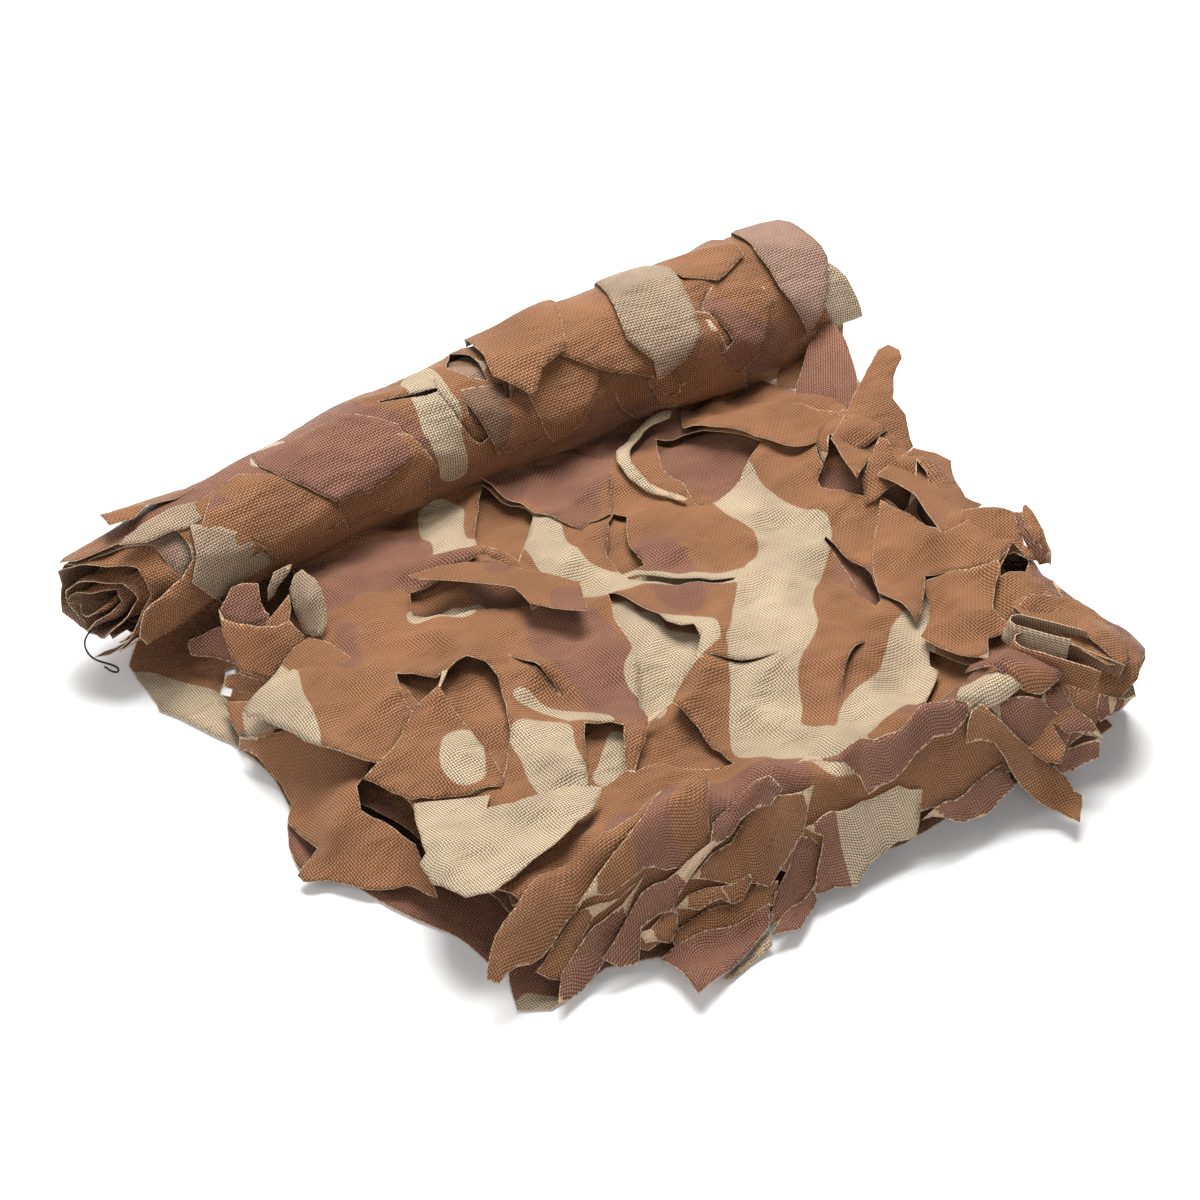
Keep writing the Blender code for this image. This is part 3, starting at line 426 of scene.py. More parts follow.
# Free leaves that lie on the top ply: outline and root point of the leaf in millimetres, its
# heading in degrees, and in metres how far its root and its tip stand off and its middle
# bulges, and its colour in the print
Patch = namedtuple("Patch", "name outline root heading base rise bulge colour")
HEAP_PATCHES = (
    Patch("teardrop_leaf", ((-98, 14), (-110, 13), (-129, 1), (-147, -3), (-146, -6), (-141, -23),
          (-121, -37), (-108, -40), (-104, -37), (-103, -25), (-99, -3)), (-120, -35), 65.9,
          0.0004, 0.003, 0.0025, "brown_drop"),
    Patch("folded_tip", ((-38, 61), (-24, 52), (-21, 44), (-17, 42), (-19, 32), (-21, 23),
          (-26, 28), (-33, 35), (-41, 34), (-38, 51)), (-35, 56), -61.4, 0.005, 0.001, 0.002,
          "mauve_tan"),
    Patch("back_flap", ((108, 131), (123, 127), (137, 112), (143, 77), (147, 61), (146, 57),
          (132, 49), (123, 61), (113, 73), (110, 82), (100, 93), (94, 106)), (135, 95), -150.9,
          0.0004, 0.005, 0.0015, "brown"),
    Patch("back_ribbon", ((99, 125), (88, 128), (76, 125), (60, 114), (55, 106), (53, 95),
          (57, 81), (64, 65), (66, 68), (59, 87), (60, 102), (65, 110), (81, 122), (96, 122)),
          (66, 67), 60.6, 0.002, 0.005, 0.0, "tan"),
    Patch("back_left_panel", ((-1, 147), (35, 154), (45, 140), (59, 116), (34, 83), (14, 77),
          (3, 99), (1, 131)), (54, 108), 145.9, -0.0004, 0.006, 0.002, "mauve_brown"),
    Patch("upright_back", ((141, 31), (143, 28), (141, 20), (142, 13), (131, 11), (122, 9),
          (117, 11), (124, 22), (131, 26)), (119, 9), 44.7, 0.0004, 0.006, 0.002, "brown"),
    Patch("right_big_panel", ((123, 8), (130, -2), (133, -7), (133, -18), (132, -31), (139, -34),
          (159, -29), (175, -27), (171, -36), (147, -59), (138, -62), (125, -55), (115, -40),
          (103, -53), (97, -57), (97, -46), (93, -35), (100, -23), (108, -11)), (163, -43), -179.3,
          0.001, 0.003, 0.002, "brown"),
    Patch("right_middle_panel", ((114, -41), (125, -56), (137, -63), (136, -66), (130, -71),
          (120, -81), (120, -87), (120, -94), (107, -91), (93, -104), (92, -90), (91, -68),
          (99, -63), (106, -54), (108, -49)), (134, -68), -159.9, 0.003, 0.003, 0.0015, "brown"),
    Patch("right_end_panel", ((123, -86), (133, -88), (144, -95), (149, -84), (149, -96),
          (146, -117), (143, -130), (140, -138), (133, -139), (127, -123), (125, -105),
          (121, -96)), (148, -87), -110.3, 0.002, 0.004, 0.003, "brown"),
    Patch("dome_panel", ((73, -111), (87, -105), (94, -107), (104, -108), (113, -113), (114, -122),
          (111, -128), (104, -133), (94, -134), (86, -131), (81, -124)), (108, -129), 152.9, 0.005,
          0.001, 0.006, "mauve_brown"),
    Patch("tan_loop_panel", ((56, -124), (63, -119), (70, -117), (77, -119), (83, -125),
          (86, -131), (79, -131), (69, -130), (62, -127)), (85, -131), 166.4, 0.006, 0.001, 0.002,
          "tan"),
    Patch("crest_strip", ((-18, -116), (0, -118), (4, -120), (8, -126), (10, -129), (22, -130),
          (33, -129), (42, -129), (51, -130), (65, -128), (54, -122), (41, -120), (30, -122),
          (13, -119), (1, -114)), (61, -126), 179.5, 0.005, 0.003, 0.003, "mauve"),
    Patch("pentagon_panel", ((70, -128), (80, -131), (93, -134), (99, -139), (103, -146),
          (93, -150), (87, -146), (80, -139), (74, -133)), (80, -131), -55.0, 0.004, 0.003, 0.002,
          "mauve_brown"),
    Patch("right_tail", ((93, -134), (97, -133), (107, -132), (106, -137), (108, -141),
          (113, -146), (118, -152), (111, -148), (103, -144), (98, -140)), (100, -133), -46.4,
          0.004, 0.004, 0.001, "mauve_brown"),
    Patch("long_strip", ((61, -129), (66, -129), (73, -135), (83, -143), (90, -148), (95, -154),
          (96, -159), (98, -162), (88, -172), (86, -161), (80, -154), (75, -149), (70, -142),
          (67, -138), (56, -134), (58, -131)), (63, -129), -59.7, 0.007, 0.001, 0.002, "brown"),
    Patch("low_right_panel", ((29, -141), (46, -142), (61, -141), (71, -141), (74, -147),
          (65, -148), (57, -149), (42, -147)), (66, -142), -179.2, 0.002, 0.003, 0.002, "mauve"),
    Patch("front_square", ((-71, -97), (-57, -86), (-49, -101), (-55, -111), (-57, -116),
          (-58, -118), (-69, -118), (-88, -116), (-99, -115), (-117, -111), (-106, -109),
          (-93, -107), (-82, -105)), (-55, -96), -162.6, 0.004, 0.003, 0.003, "mauve_brown"),
    Patch("front_left_panel", ((-64, -89), (-70, -96), (-82, -104), (-93, -106), (-106, -109),
          (-116, -110), (-128, -113), (-139, -115), (-146, -115), (-154, -116), (-158, -113),
          (-157, -111), (-154, -108), (-151, -106), (-146, -104), (-126, -96), (-98, -98),
          (-82, -99)), (-76, -97), -167.7, 0.001, 0.005, 0.004, "brown"),
    Patch("front_inner_panel", ((-88, -115), (-98, -114), (-110, -114), (-119, -117), (-129, -123),
          (-138, -116), (-129, -113), (-116, -110), (-98, -114)), (-91, -114), -174.0, 0.001,
          0.002, 0.0, "brown"),
    Patch("front_mauve_leaf", ((-87, -115), (-93, -117), (-103, -121), (-115, -125), (-130, -129),
          (-138, -131), (-129, -121), (-121, -118), (-111, -116), (-98, -116)), (-89, -115),
          -162.6, 0.001, 0.004, 0.0015, "mauve"),
    Patch("front_pleat", ((-25, -119), (-32, -121), (-44, -118), (-58, -119), (-72, -122),
          (-82, -125), (-96, -126), (-101, -131), (-109, -130), (-114, -126), (-103, -122),
          (-91, -119), (-80, -119), (-69, -118), (-58, -118), (-54, -113), (-39, -111)),
          (-29, -118), -172.7, 0.003, 0.002, 0.006, "mauve"),
    Patch("front_golden_panel", ((-21, -120), (-11, -121), (-21, -128), (-30, -131), (-41, -134),
          (-50, -128), (-63, -124), (-70, -121), (-59, -119), (-43, -118), (-34, -119)),
          (-16, -121), -174.5, 0.003, 0.004, 0.002, "brown"),
    Patch("front_low_weave", ((-82, -128), (-67, -128), (-47, -129), (-37, -134), (-42, -138),
          (-56, -136), (-72, -133), (-85, -133), (-85, -130)), (-40, -134), 176.0, 0.003, 0.001,
          0.001, "brown"),
    Patch("front_low_panel", ((-93, -134), (-84, -132), (-72, -133), (-58, -135), (-43, -137),
          (-50, -145), (-74, -152), (-94, -158), (-93, -150), (-92, -141)), (-55, -135), -152.3,
          0.003, 0.003, 0.0015, "mauve"),
    Patch("front_tan_sliver", ((-78, -152), (-60, -148), (-49, -144), (-52, -150), (-64, -152),
          (-75, -154)), (-50, -145), -162.1, 0.0005, 0.001, 0.0, "tan"),
    Patch("front_curl_tall", ((-97, -126), (-93, -127), (-86, -125), (-78, -123), (-79, -126),
          (-82, -129), (-87, -132), (-92, -131), (-97, -130)), (-79, -125), -170.2, 0.006, 0.003,
          0.002, "brown"),
    Patch("front_curl_wide", ((-80, -126), (-73, -124), (-65, -125), (-53, -127), (-46, -128),
          (-46, -130), (-52, -131), (-61, -129), (-71, -129)), (-47, -129), 174.4, 0.006, 0.003,
          0.002, "brown"),
    Patch("front_dark_cheek", ((-23, -127), (-17, -128), (-14, -131), (-18, -135), (-24, -140),
          (-36, -142), (-48, -144), (-41, -136), (-31, -132)), (-18, -128), -151.4, 0.001, 0.001,
          0.0, "mauve"),
    Patch("front_thin_panel", ((-18, -136), (-23, -141), (-30, -146), (-40, -152), (-46, -150),
          (-52, -149), (-42, -143), (-30, -140), (-23, -138)), (-20, -137), -159.2, 0.002, 0.003,
          0.0, "mauve_brown"),
    Patch("front_tan_panel", ((-20, -127), (-2, -127), (12, -129), (24, -131), (33, -135),
          (29, -140), (26, -142), (17, -141), (2, -142), (-6, -145), (-16, -143), (-25, -142),
          (-19, -136), (-13, -131)), (29, -134), -171.4, 0.001, 0.004, 0.002, "tan_mauve"),
    Patch("end_flap_right", ((123, -139), (130, -143), (138, -147), (131, -146), (120, -145),
          (120, -142)), (124, -141), -25.2, 0.001, 0.003, 0.0, "mauve"),
)

# Free leaves of the roll: as above, with degrees round the roll for the second coordinate
ROLL_PATCHES = (
    Patch("roll_raised_leaf", ((29, 150), (50, 154), (63, 150), (71, 128), (69, 112), (53, 60),
          (38, 54), (28, 38), (15, 63), (19, 90), (24, 128)), (48, 154), 268.0, 0.0036, 0.005,
          0.0006, "brown"),
    Patch("roll_middle_panel", ((60, 150), (108, 150), (90, 75), (88, 51), (96, 30), (90, 17),
          (65, 37), (50, 60), (66, 112)), (86, 150), 258.0, 0.0012, 0.003, 0.0006, "brown"),
    Patch("roll_pale_tongue", ((102, 150), (116, 148), (123, 128), (126, 103), (123, 84),
          (119, 53), (115, 35), (104, 22), (90, 15), (90, 30), (83, 51), (86, 77)), (112, 150),
          262.0, 0.0034, 0.004, 0.0006, "back_tan"),
    Patch("roll_front_panel", ((108, 62), (128, 48), (134, 24), (144, -34), (94, -14), (88, 13),
          (103, 29)), (124, 40), 250.0, 0.0004, 0.0028, 0.0006, "brown"),
    Patch("roll_right_leaf", ((176, 142), (188, 134), (194, 104), (194, 58), (187, 34), (171, 8),
          (164, 47), (165, 80), (171, 120)), (176, 144), 268.0, 0.0016, 0.0034, 0.0006,
          "back_mauve"),
    Patch("roll_top_panel", ((118, 150), (164, 150), (163, 112), (160, 84), (140, 70), (127, 84),
          (126, 104), (121, 124)), (140, 150), 268.0, 0.0026, -0.001, 0.0004, "brown"),
    Patch("roll_right_tongue", ((180, 80), (194, 58), (200, 41), (203, 6), (189, 2), (181, 36)),
          (186, 72), 290.0, -0.0004, 0.001, 0.0006, "tan"),
    Patch("roll_left_panel", ((-97, 117), (-53, 98), (-34, 62), (-36, 30), (-60, 20), (-78, 26),
          (-96, 66), (-100, 88)), (-70, 112), 272.0, 0.0005, 0.0036, 0.0006, "mauve"),
    Patch("roll_lower_left_panel", ((-110, 92), (-95, 64), (-78, 27), (-74, 6), (-110, -2),
          (-119, 24), (-140, 60), (-136, 84)), (-118, 86), 300.0, 0.0003, 0.003, 0.0006, "brown"),
    Patch("roll_left_middle_panel", ((-64, 82), (-32, 50), (-25, 16), (-32, 2), (-63, -6),
          (-72, -12), (-76, 30)), (-66, 40), 340.0, 0.0004, 0.0034, 0.0006, "brown"),
    Patch("roll_grey_leaf", ((-143, 65), (-132, 53), (-121, 32), (-114, 5), (-111, -10),
          (-122, -17), (-141, -17), (-153, 18), (-147, 38)), (-116, 10), 180.0, 0.0006, 0.003,
          0.0008, "back_tan"),
    Patch("near_lip", ((-183, -3), (-178, 16), (-156, 25), (-147, 38), (-141, -17), (-145, -19),
          (-163, -26), (-179, -19)), (-143, 0), 180.0, 0.0012, 0.005, 0.0, "brown"),
    Patch("near_top_strip", ((-174, 101), (-172, 124), (-156, 128), (-136, 133), (-128, 112),
          (-140, 102), (-154, 102), (-163, 95)), (-132, 115), 180.0, 0.0008, 0.008, 0.0, "brown"),
    Patch("near_pale_strip", ((-175, 83), (-170, 87), (-161, 90), (-146, 90), (-130, 84),
          (-134, 66), (-141, 63), (-151, 68), (-164, 70)), (-134, 76), 180.0, 0.0006, 0.0036, 0.0,
          "back_tan"),
    Patch("roll_low_panel", ((12, 42), (50, 56), (54, -2), (6, 4)), (40, 56), 262.0, 0.0004,
          0.0026, 0.0006, "brown"),
    Patch("roll_small_panel", ((-3, 68), (20, 58), (16, 14), (5, 6)), (10, 66), 262.0, 0.0004,
          0.0026, 0.0006, "back"),
)

# Leaves with their own heights: colour, and outline and inner points in millimetres
Panel = namedtuple("Panel", "name colour outline inner", defaults=((),))
PANELS = (
    Panel("tongue", "brown", ((184, 81, 60), (191, 82, 60), (193, 76, 60), (189, 70, 60),
          (179, 63, 58), (169, 51, 57), (169, 42, 53), (164, 32, 48), (163, 28, 46), (146, 22, 48),
          (142, 31, 50), (122, 19, 52), (128, 45, 55), (153, 61, 58), (170, 72, 60))),
    Panel("foot_triangle", "brown", ((158, 122, 34), (174, 126, 40), (192, 128, 46),
          (180, 120, 42), (167, 111, 36), (158, 108, 33), (151, 114, 32))),
    Panel("foot_leaf", "mauve", ((192, 128, 46), (188, 108, 41), (182, 91, 38), (178, 78, 37),
          (167, 82, 36), (159, 95, 36), (162, 108, 36), (179, 120, 41))),
    Panel("back_right_panel", "brown", ((162, 27, 47), (170, 21, 45), (173, 13, 44), (167, 5, 43),
          (161, -11, 42), (166, -17, 40), (153, -22, 42), (130, -32, 48), (133, -20, 49),
          (137, -4, 50), (135, 9, 51), (132, 17, 51), (144, 20, 50))),
    Panel("curved_leaf", "brown", ((161, -47, 61), (162, -48, 62), (162, -52, 61), (160, -60, 60),
          (157, -68, 58), (155, -73, 56), (154, -75, 51), (154, -69, 51), (152, -65, 57),
          (154, -57, 59), (157, -51, 60))),
    Panel("left_low_panel", "brown", ((-169, 66, 14), (-166, 57, 18), (-154, 48, 24),
          (-140, 28, 26), (-135, 15, 24), (-141, 9, 22), (-150, 2, 24), (-154, -8, 22),
          (-148, -23, 20), (-145, -34, 18), (-147, -46, 14), (-150, -58, 10), (-155, -43, 8),
          (-168, -34, 6), (-178, -20, 5), (-185, -17, 5), (-187, -15, 4), (-187, -11, 5),
          (-174, -5, 8), (-174, 7, 5), (-174, 19, 4), (-168, 27, 5), (-165, 39, 6), (-166, 48, 7),
          (-171, 64, 8)), ((-168, -7, 17), (-156, -3, 24), (-181, -12, 7), (-168, 19, 5),
          (-167, -16, 12))),
    Panel("curl_front", "brown", ((-145, 123, 33), (-146, 117, 32), (-143, 111, 32),
          (-137, 104, 32), (-130, 99, 32), (-124, 99, 33), (-123, 95, 31), (-121, 92, 28),
          (-124, 88, 24), (-136, 88, 19), (-143, 87, 16), (-146, 93, 17), (-150, 98, 18),
          (-150, 105, 21), (-149, 113, 28)), ((-139, 97, 25),)),
    Panel("curl_back", "mauve", ((-145, 123, 33), (-142, 124, 35), (-136, 127, 38),
          (-131, 126, 39), (-126, 122, 39), (-127, 119, 37), (-128, 116, 34), (-128, 113, 31),
          (-127, 112, 30), (-130, 106, 24), (-136, 110, 24), (-141, 114, 26), (-145, 119, 28))),
    Panel("grey_leaf", "back_tan", ((-116, 112, 38), (-112, 114, 43), (-108, 114, 44),
          (-107, 100, 42), (-109, 94, 38), (-112, 88, 34), (-116, 85, 31), (-118, 88, 29),
          (-120, 94, 28), (-119, 102, 31), (-118, 107, 35)), ((-115, 98, 41),)),
    Panel("small_brown_leaf", "brown", ((-133, 107, 27), (-128, 109, 30), (-123, 110, 33),
          (-117, 111, 37), (-119, 106, 34), (-123, 101, 31), (-127, 101, 29), (-130, 103, 27))),
    Panel("under_curl_leaf", "brown", ((-160, 96, 7), (-152, 86, 10), (-156, 81, 10),
          (-164, 71, 11), (-167, 71, 9), (-164, 83, 7))),
    Panel("under_curl_strip", "brown", ((-156, 104, 9), (-152, 107, 11), (-148, 103, 13),
          (-142, 89, 13), (-147, 88, 10), (-152, 96, 9), (-156, 104, 8))),
    Panel("left_panel_top", "left_corner", ((-137, 85, 23), (-127, 89, 27), (-121, 88, 29),
          (-117, 79, 31), (-115, 68, 32), (-113, 54, 33), (-105, 45, 34), (-107, 28, 34),
          (-107, 15, 34), (-117, 8, 32), (-128, 6, 29), (-132, 7, 27), (-135, 18, 26),
          (-139, 30, 25), (-146, 41, 24), (-152, 51, 22), (-159, 57, 19), (-165, 60, 16),
          (-167, 65, 15), (-163, 74, 17), (-154, 78, 19)), ((-131, 71, 30), (-132, 48, 30),
          (-146, 62, 22), (-128, 29, 32), (-140, 43, 25), (-120, 38, 36))),
    Panel("slit_lip", "mauve_brown", ((-72, 85, 42), (-57, 81, 44), (-41, 70, 46), (-32, 60, 45),
          (-20, 46, 44), (-14, 39, 43), (-24, 18, 46), (-36, 27, 47), (-43, 34, 48), (-43, 46, 49),
          (-58, 65, 46), (-71, 77, 45))),
    Panel("big_tan_leaf", "tan", ((-140, -26, 31), (-121, -38, 34), (-114, -43, 35),
          (-120, -49, 36), (-113, -58, 42), (-86, -63, 41), (-80, -71, 41), (-89, -79, 42),
          (-114, -88, 44), (-136, -92, 42), (-146, -94, 42), (-155, -88, 38), (-159, -70, 33),
          (-157, -57, 33), (-153, -56, 35), (-147, -39, 33)), ((-125, -65, 41), (-136, -84, 43),
          (-128, -56, 36), (-141, -73, 37), (-137, -50, 36), (-152, -70, 39), (-112, -72, 39),
          (-101, -72, 43))),
    Panel("right_end_top", "brown", ((123, -85, 50), (129, -84, 50), (141, -87, 50),
          (145, -92, 49), (151, -96, 46), (152, -104, 45), (146, -122, 45), (139, -139, 45),
          (129, -137, 50), (124, -124, 53), (124, -104, 51), (122, -92, 50)), ((137, -109, 51),)),
    Panel("right_side_leaf", "brown", ((78, -119, 44), (90, -125, 44), (97, -137, 40),
          (97, -151, 32), (91, -155, 28), (87, -150, 28), (81, -134, 36))),
    Panel("right_mauve_leaf", "mauve_brown", ((96, -124, 45), (113, -125, 45), (113, -132, 43),
          (109, -141, 39), (112, -154, 34), (113, -156, 30), (101, -147, 33), (98, -141, 37))),
    Panel("right_low_bit", "mauve", ((99, -147, 26), (116, -152, 26), (113, -155, 20),
          (101, -152, 17), (91, -149, 15))),
    Panel("right_tan_edge", "back_tan", ((155, -114, 36), (155, -122, 34), (146, -141, 26),
          (139, -136, 24), (129, -139, 22), (137, -130, 29), (143, -130, 32))),
    Panel("grey_bit", "back_tan", ((-121, 123, 33), (-115, 127, 36), (-109, 127, 37),
          (-106, 127, 37), (-109, 124, 35), (-116, 123, 31), (-118, 122, 28), (-122, 122, 27))),
    Panel("dark_left_leaf", "mauve", ((-158, 131, 16), (-153, 128, 19), (-145, 125, 22),
          (-144, 118, 22), (-146, 109, 12), (-152, 119, 12), (-159, 126, 12))),
    Panel("curved_leaf_edge", "mauve", ((157, -46, 59), (159, -49, 60), (154, -63, 58),
          (155, -73, 50), (151, -71, 49), (150, -63, 54), (153, -53, 57))),
    Panel("right_crest", "brown", ((147, -24, 51), (150, -35, 58), (154, -42, 60), (157, -46, 59),
          (154, -52, 57), (150, -62, 54), (152, -70, 49), (147, -68, 51), (145, -61, 51),
          (134, -58, 51), (128, -50, 48), (139, -34, 49))),
)

# Leaves that stand up by themselves, as ribbons: outline along and across, root point, and
# along their length the heading, the slope and the roll of the ribbon in degrees
Flap = namedtuple("Flap", "name outline root headings slopes rolls cup colour")
FLAPS = (
    Flap("right_end_flap",
         ((0.0, -0.018), (0.030, -0.014), (0.055, -0.008), (0.072, 0.001), (0.050, 0.010),
          (0.025, 0.016), (0.0, 0.020)),
         (0.146, 0.068, 0.040), (53.0, 53.0, 53.0), (14.0, 12.0, 4.0), (-24.0, -24.0, -10.0),
         6.0, "mauve"),
    Flap("upper_loop",
         ((0.0, -0.0055), (0.068, -0.0055), (0.068, 0.0055), (0.0, 0.0055)),
         (0.132, -0.122, 0.052),
         (124.0, 124.0, 124.0, 124.0, 128.0, 214.0, 300.0, 304.0, 304.0, 304.0),
         (2.0, 0.0, -2.0), (70.0, 76.0, 80.0), 0.0, "tan_brown"),
    Flap("lower_loop",
         ((0.0, -0.0055), (0.094, -0.0055), (0.094, 0.0055), (0.0, 0.0055)),
         (0.136, -0.140, 0.044),
         (124.0, 124.0, 124.0, 124.0, 128.0, 214.0, 300.0, 304.0, 304.0, 304.0),
         (12.0, 4.0, -8.0), (78.0, 78.0, 78.0), 0.0, "brown"),
)


def smooth(t):
    """Ease from 0 to 1."""
    t = np.clip(t, 0.0, 1.0)
    return t * t * (3.0 - 2.0 * t)


def link(name, data):
    """An object in the scene."""
    thing = bpy.data.objects.new(name, data)
    bpy.context.scene.collection.objects.link(thing)
    return thing


def metres(points):
    """Points in metres from a table in millimetres."""
    return [tuple(value / 1000.0 for value in point) for point in points]


def arcs(points):
    """Flat points of a turn of the roll from millimetres along it and degrees round it."""
    return [(x / 1000.0, math.radians(angle) * ROLL_RADIUS) for x, angle in points]


def along_across(x, y, at_x, at_y, degrees):
    """Distances along and across a turned axis through a point."""
    angle = math.radians(degrees)
    dx = x - at_x
    dy = y - at_y
    return (dx * math.cos(angle) + dy * math.sin(angle),
            dy * math.cos(angle) - dx * math.sin(angle))


def plan_place(at_x, at_y, degrees, along, aside):
    """Plan coordinates of distances along and across a turned axis through a point."""
    angle = math.radians(degrees)
    return (at_x + along * math.cos(angle) - aside * math.sin(angle),
            at_y + along * math.sin(angle) + aside * math.cos(angle))


def field(x, y, size, seed):
    """Soft noise from about -1 to 1, its patches about one size across."""
    return np.array([noise.noise(Vector((u / size, v / size, seed))) for u, v in zip(x, y)])


def ridges(x, y, table):
    """Sum of the swells of a table."""
    total = np.zeros_like(x)
    for row in table:
        along, across = along_across(x, y, row.x, row.y, row.turn)
        u, v = along / row.along, across / row.across
        total += row.height * np.exp(-u * u - v * v)
    return total


def crumple(x, y, size, height, seed):
    """Creases of thin crisp cloth: soft waves and long sharp folds that cross them."""
    total = WAVE_SHARE * field(x, y, size, seed)
    for turn, share in CREASE_TURNS:
        along, across = along_across(x, y, 0.0, 0.0, turn)
        fold = np.abs(field(along / FOLD_STRETCH, across, FOLD_SIZE * size, seed + turn))
        total += share * (FOLD_LEVEL - 2.0 * fold)
    return height * (total + FINE_SHARE * field(x, y, FINE_SIZE * size, seed + 3.1))


# The heap ---------------------------------------------------------------------------------

def heap_height(x, y):
    """Height of the top ply above the bottom one."""
    height = HEAP + ridges(x, y, HEAP_RIDGES)
    crest = CREST_Y + CREST_SLANT * (x - CREST_X)
    front = smooth((crest - y) / FRONT_FALL)
    left = smooth((LEFT_FALL_FROM - x) / LEFT_FALL)
    return np.maximum(height * (1.0 - front) * (1.0 - LEFT_DROP * left), HEAP_MIN)


def relief_room(x, y):
    """Where creases may stand: less towards the hem and under the roll."""
    crest = CREST_Y + CREST_SLANT * (x - CREST_X)
    hem = 1.0 - HEM_CALM * smooth((crest - y - HEM_FROM) / (FRONT_FALL - HEM_FROM))
    return hem * smooth((ROLL_Y - ROLL_RADIUS - y) / UNDER_ROLL)


def ply_place(level, folds=()):
    """Function that lays sheet coordinates on one ply: it folds under at its right side."""
    bulge = FOLD_BULGES[round(level)]

    def place(a, b, h):
        over = a - RIGHT
        turn = np.clip(over / TURN_RUN, 0.0, 1.0) * math.pi
        back = np.maximum(over - TURN_RUN, 0.0)
        x = np.where(over > 0.0, RIGHT + (bulge * np.sin(turn) - back), a)
        lower = level - (0.5 - 0.5 * np.cos(turn))
        wander = EDGE_WANDER * (np.sin(b * EDGE_WAVES[0] + 1.0)
                                + 0.5 * np.sin(b * EDGE_WAVES[1]))
        x = x + wander * x / RIGHT
        room = relief_room(x, b)
        z = 0.5 * LOFT + lower / (PLIES - 1) * heap_height(x, b)
        z = z + ridges(a, b, folds) * room * np.cos(0.5 * turn) ** 2
        return np.stack([x + np.sin(turn) * h, b, z + np.cos(turn) * h], axis=1)

    return place


# The roll ---------------------------------------------------------------------------------

def spiral_length(turns, shrink):
    """Length of cloth in some turns that each shrink by a share of the roll's radius."""
    return ROLL_RADIUS * 2.0 * math.pi * turns * (1.0 - 0.5 * shrink * turns)


def roll_place(shrink=0.0, lift=0.0, rough=0.0, seed=0.0, flatten=0.0):
    """Function that winds sheet coordinates on the roll: b runs round it, from its front."""
    start = math.radians(WRAP_STEP_ANGLE)

    def place(a, b, h):
        if shrink:
            used = (b - start * ROLL_RADIUS) * shrink / (math.pi * ROLL_RADIUS)
            wound = (1.0 - np.sqrt(np.clip(1.0 - used, 0.0, 1.0))) / shrink
        else:
            wound = (b / ROLL_RADIUS - start) / (2.0 * math.pi)
        turn = start + 2.0 * math.pi * wound
        degrees = np.degrees(turn)
        waves = ROLL_WAVES * (np.sin(a * 55.0 + 0.03 * degrees) + np.sin(a * 120.0 + 1.0))
        radius = ROLL_RADIUS + ROLL_CONE * a + waves + WRAP_STEP * (0.5 - wound) + lift + h
        radius = radius * (1.0 - shrink * wound)
        if rough:
            radius = radius + rough * field(a * 1.4, b * 0.7, ROUGH_SIZE, seed)
        share = 0.0 if shrink else FACET_SHARE
        part = 2.0 * math.pi / FACETS
        within = np.mod(turn + 6.0 * a + 0.4 * np.sin(a * 40.0), part) - 0.5 * part
        radius = radius * (1.0 + share * (math.cos(0.5 * part) / np.cos(within) - 1.0))
        flat = ROLL_FLATNESS - flatten * np.clip(wound / 4.0, 0.0, 1.0)
        middle_y = ROLL_Y + ROLL_BOW * a * a
        middle_z = ROLL_FLOOR + ROLL_RADIUS + ROLL_CONE * a
        return np.stack([a, middle_y - radius * np.cos(turn),
                         middle_z + flat * radius * np.sin(turn)], axis=1)

    return place


# Cutting a sheet --------------------------------------------------------------------------

def ragged(points, seed, closed=True):
    """An outline in short steps, a little torn."""
    points = [Vector(point) for point in points]
    ends = points[1:] + points[:1] if closed else points[1:]
    loop = []
    for start, end in zip(points, ends):
        count = max(1, round((end - start).length / JAG_STEP))
        side = (end - start).orthogonal().normalized()
        for i in range(count):
            point = start.lerp(end, i / count)
            wave = noise.noise(Vector((point.x / JAG_SIZE, point.y / JAG_SIZE, seed)))
            loop.append(point + side * JAG * wave * JAG_SWING)
    return loop


def leaf_frame(x, y, leaf):
    """Distance along a leaf from its root and sideways from its middle line."""
    along, aside = along_across(x, y, leaf.x, leaf.y, leaf.heading)
    bow = leaf.bow * np.sin(math.pi * np.clip(along / leaf.length, 0.0, 1.0))
    return along, aside - bow


def leaf_half(share, leaf):
    """Half the width of a leaf along its length: a narrow root, a full middle and its tip."""
    share = np.clip(share, 0.0, 1.0)
    root = 0.62 + 0.38 * np.sin(0.5 * math.pi * np.clip(share / 0.4, 0.0, 1.0))
    tip = (1.0 - share ** 2.6) ** (0.42 + 0.75 * leaf.tip)
    return 0.5 * leaf.width * root * tip


def leaf_point(along, aside, leaf):
    """Plan point of a place on a leaf."""
    aside = aside + leaf.bow * math.sin(math.pi * min(max(along / leaf.length, 0.0), 1.0))
    return Vector(plan_place(leaf.x, leaf.y, leaf.heading, along, aside))


def leaf_line(leaf, step):
    """The cut round a leaf, from one side of its root to the other."""
    count = max(4, round(leaf.length / step))
    shares = [math.sin(0.5 * math.pi * i / count) for i in range(count)]
    halves = [float(leaf_half(share, leaf)) for share in shares]
    left = [leaf_point(s * leaf.length, w, leaf) for s, w in zip(shares, halves)]
    right = [leaf_point(s * leaf.length, -w, leaf) for s, w in zip(shares, halves)]
    return left + [leaf_point(leaf.length, 0.0, leaf)] + right[::-1]


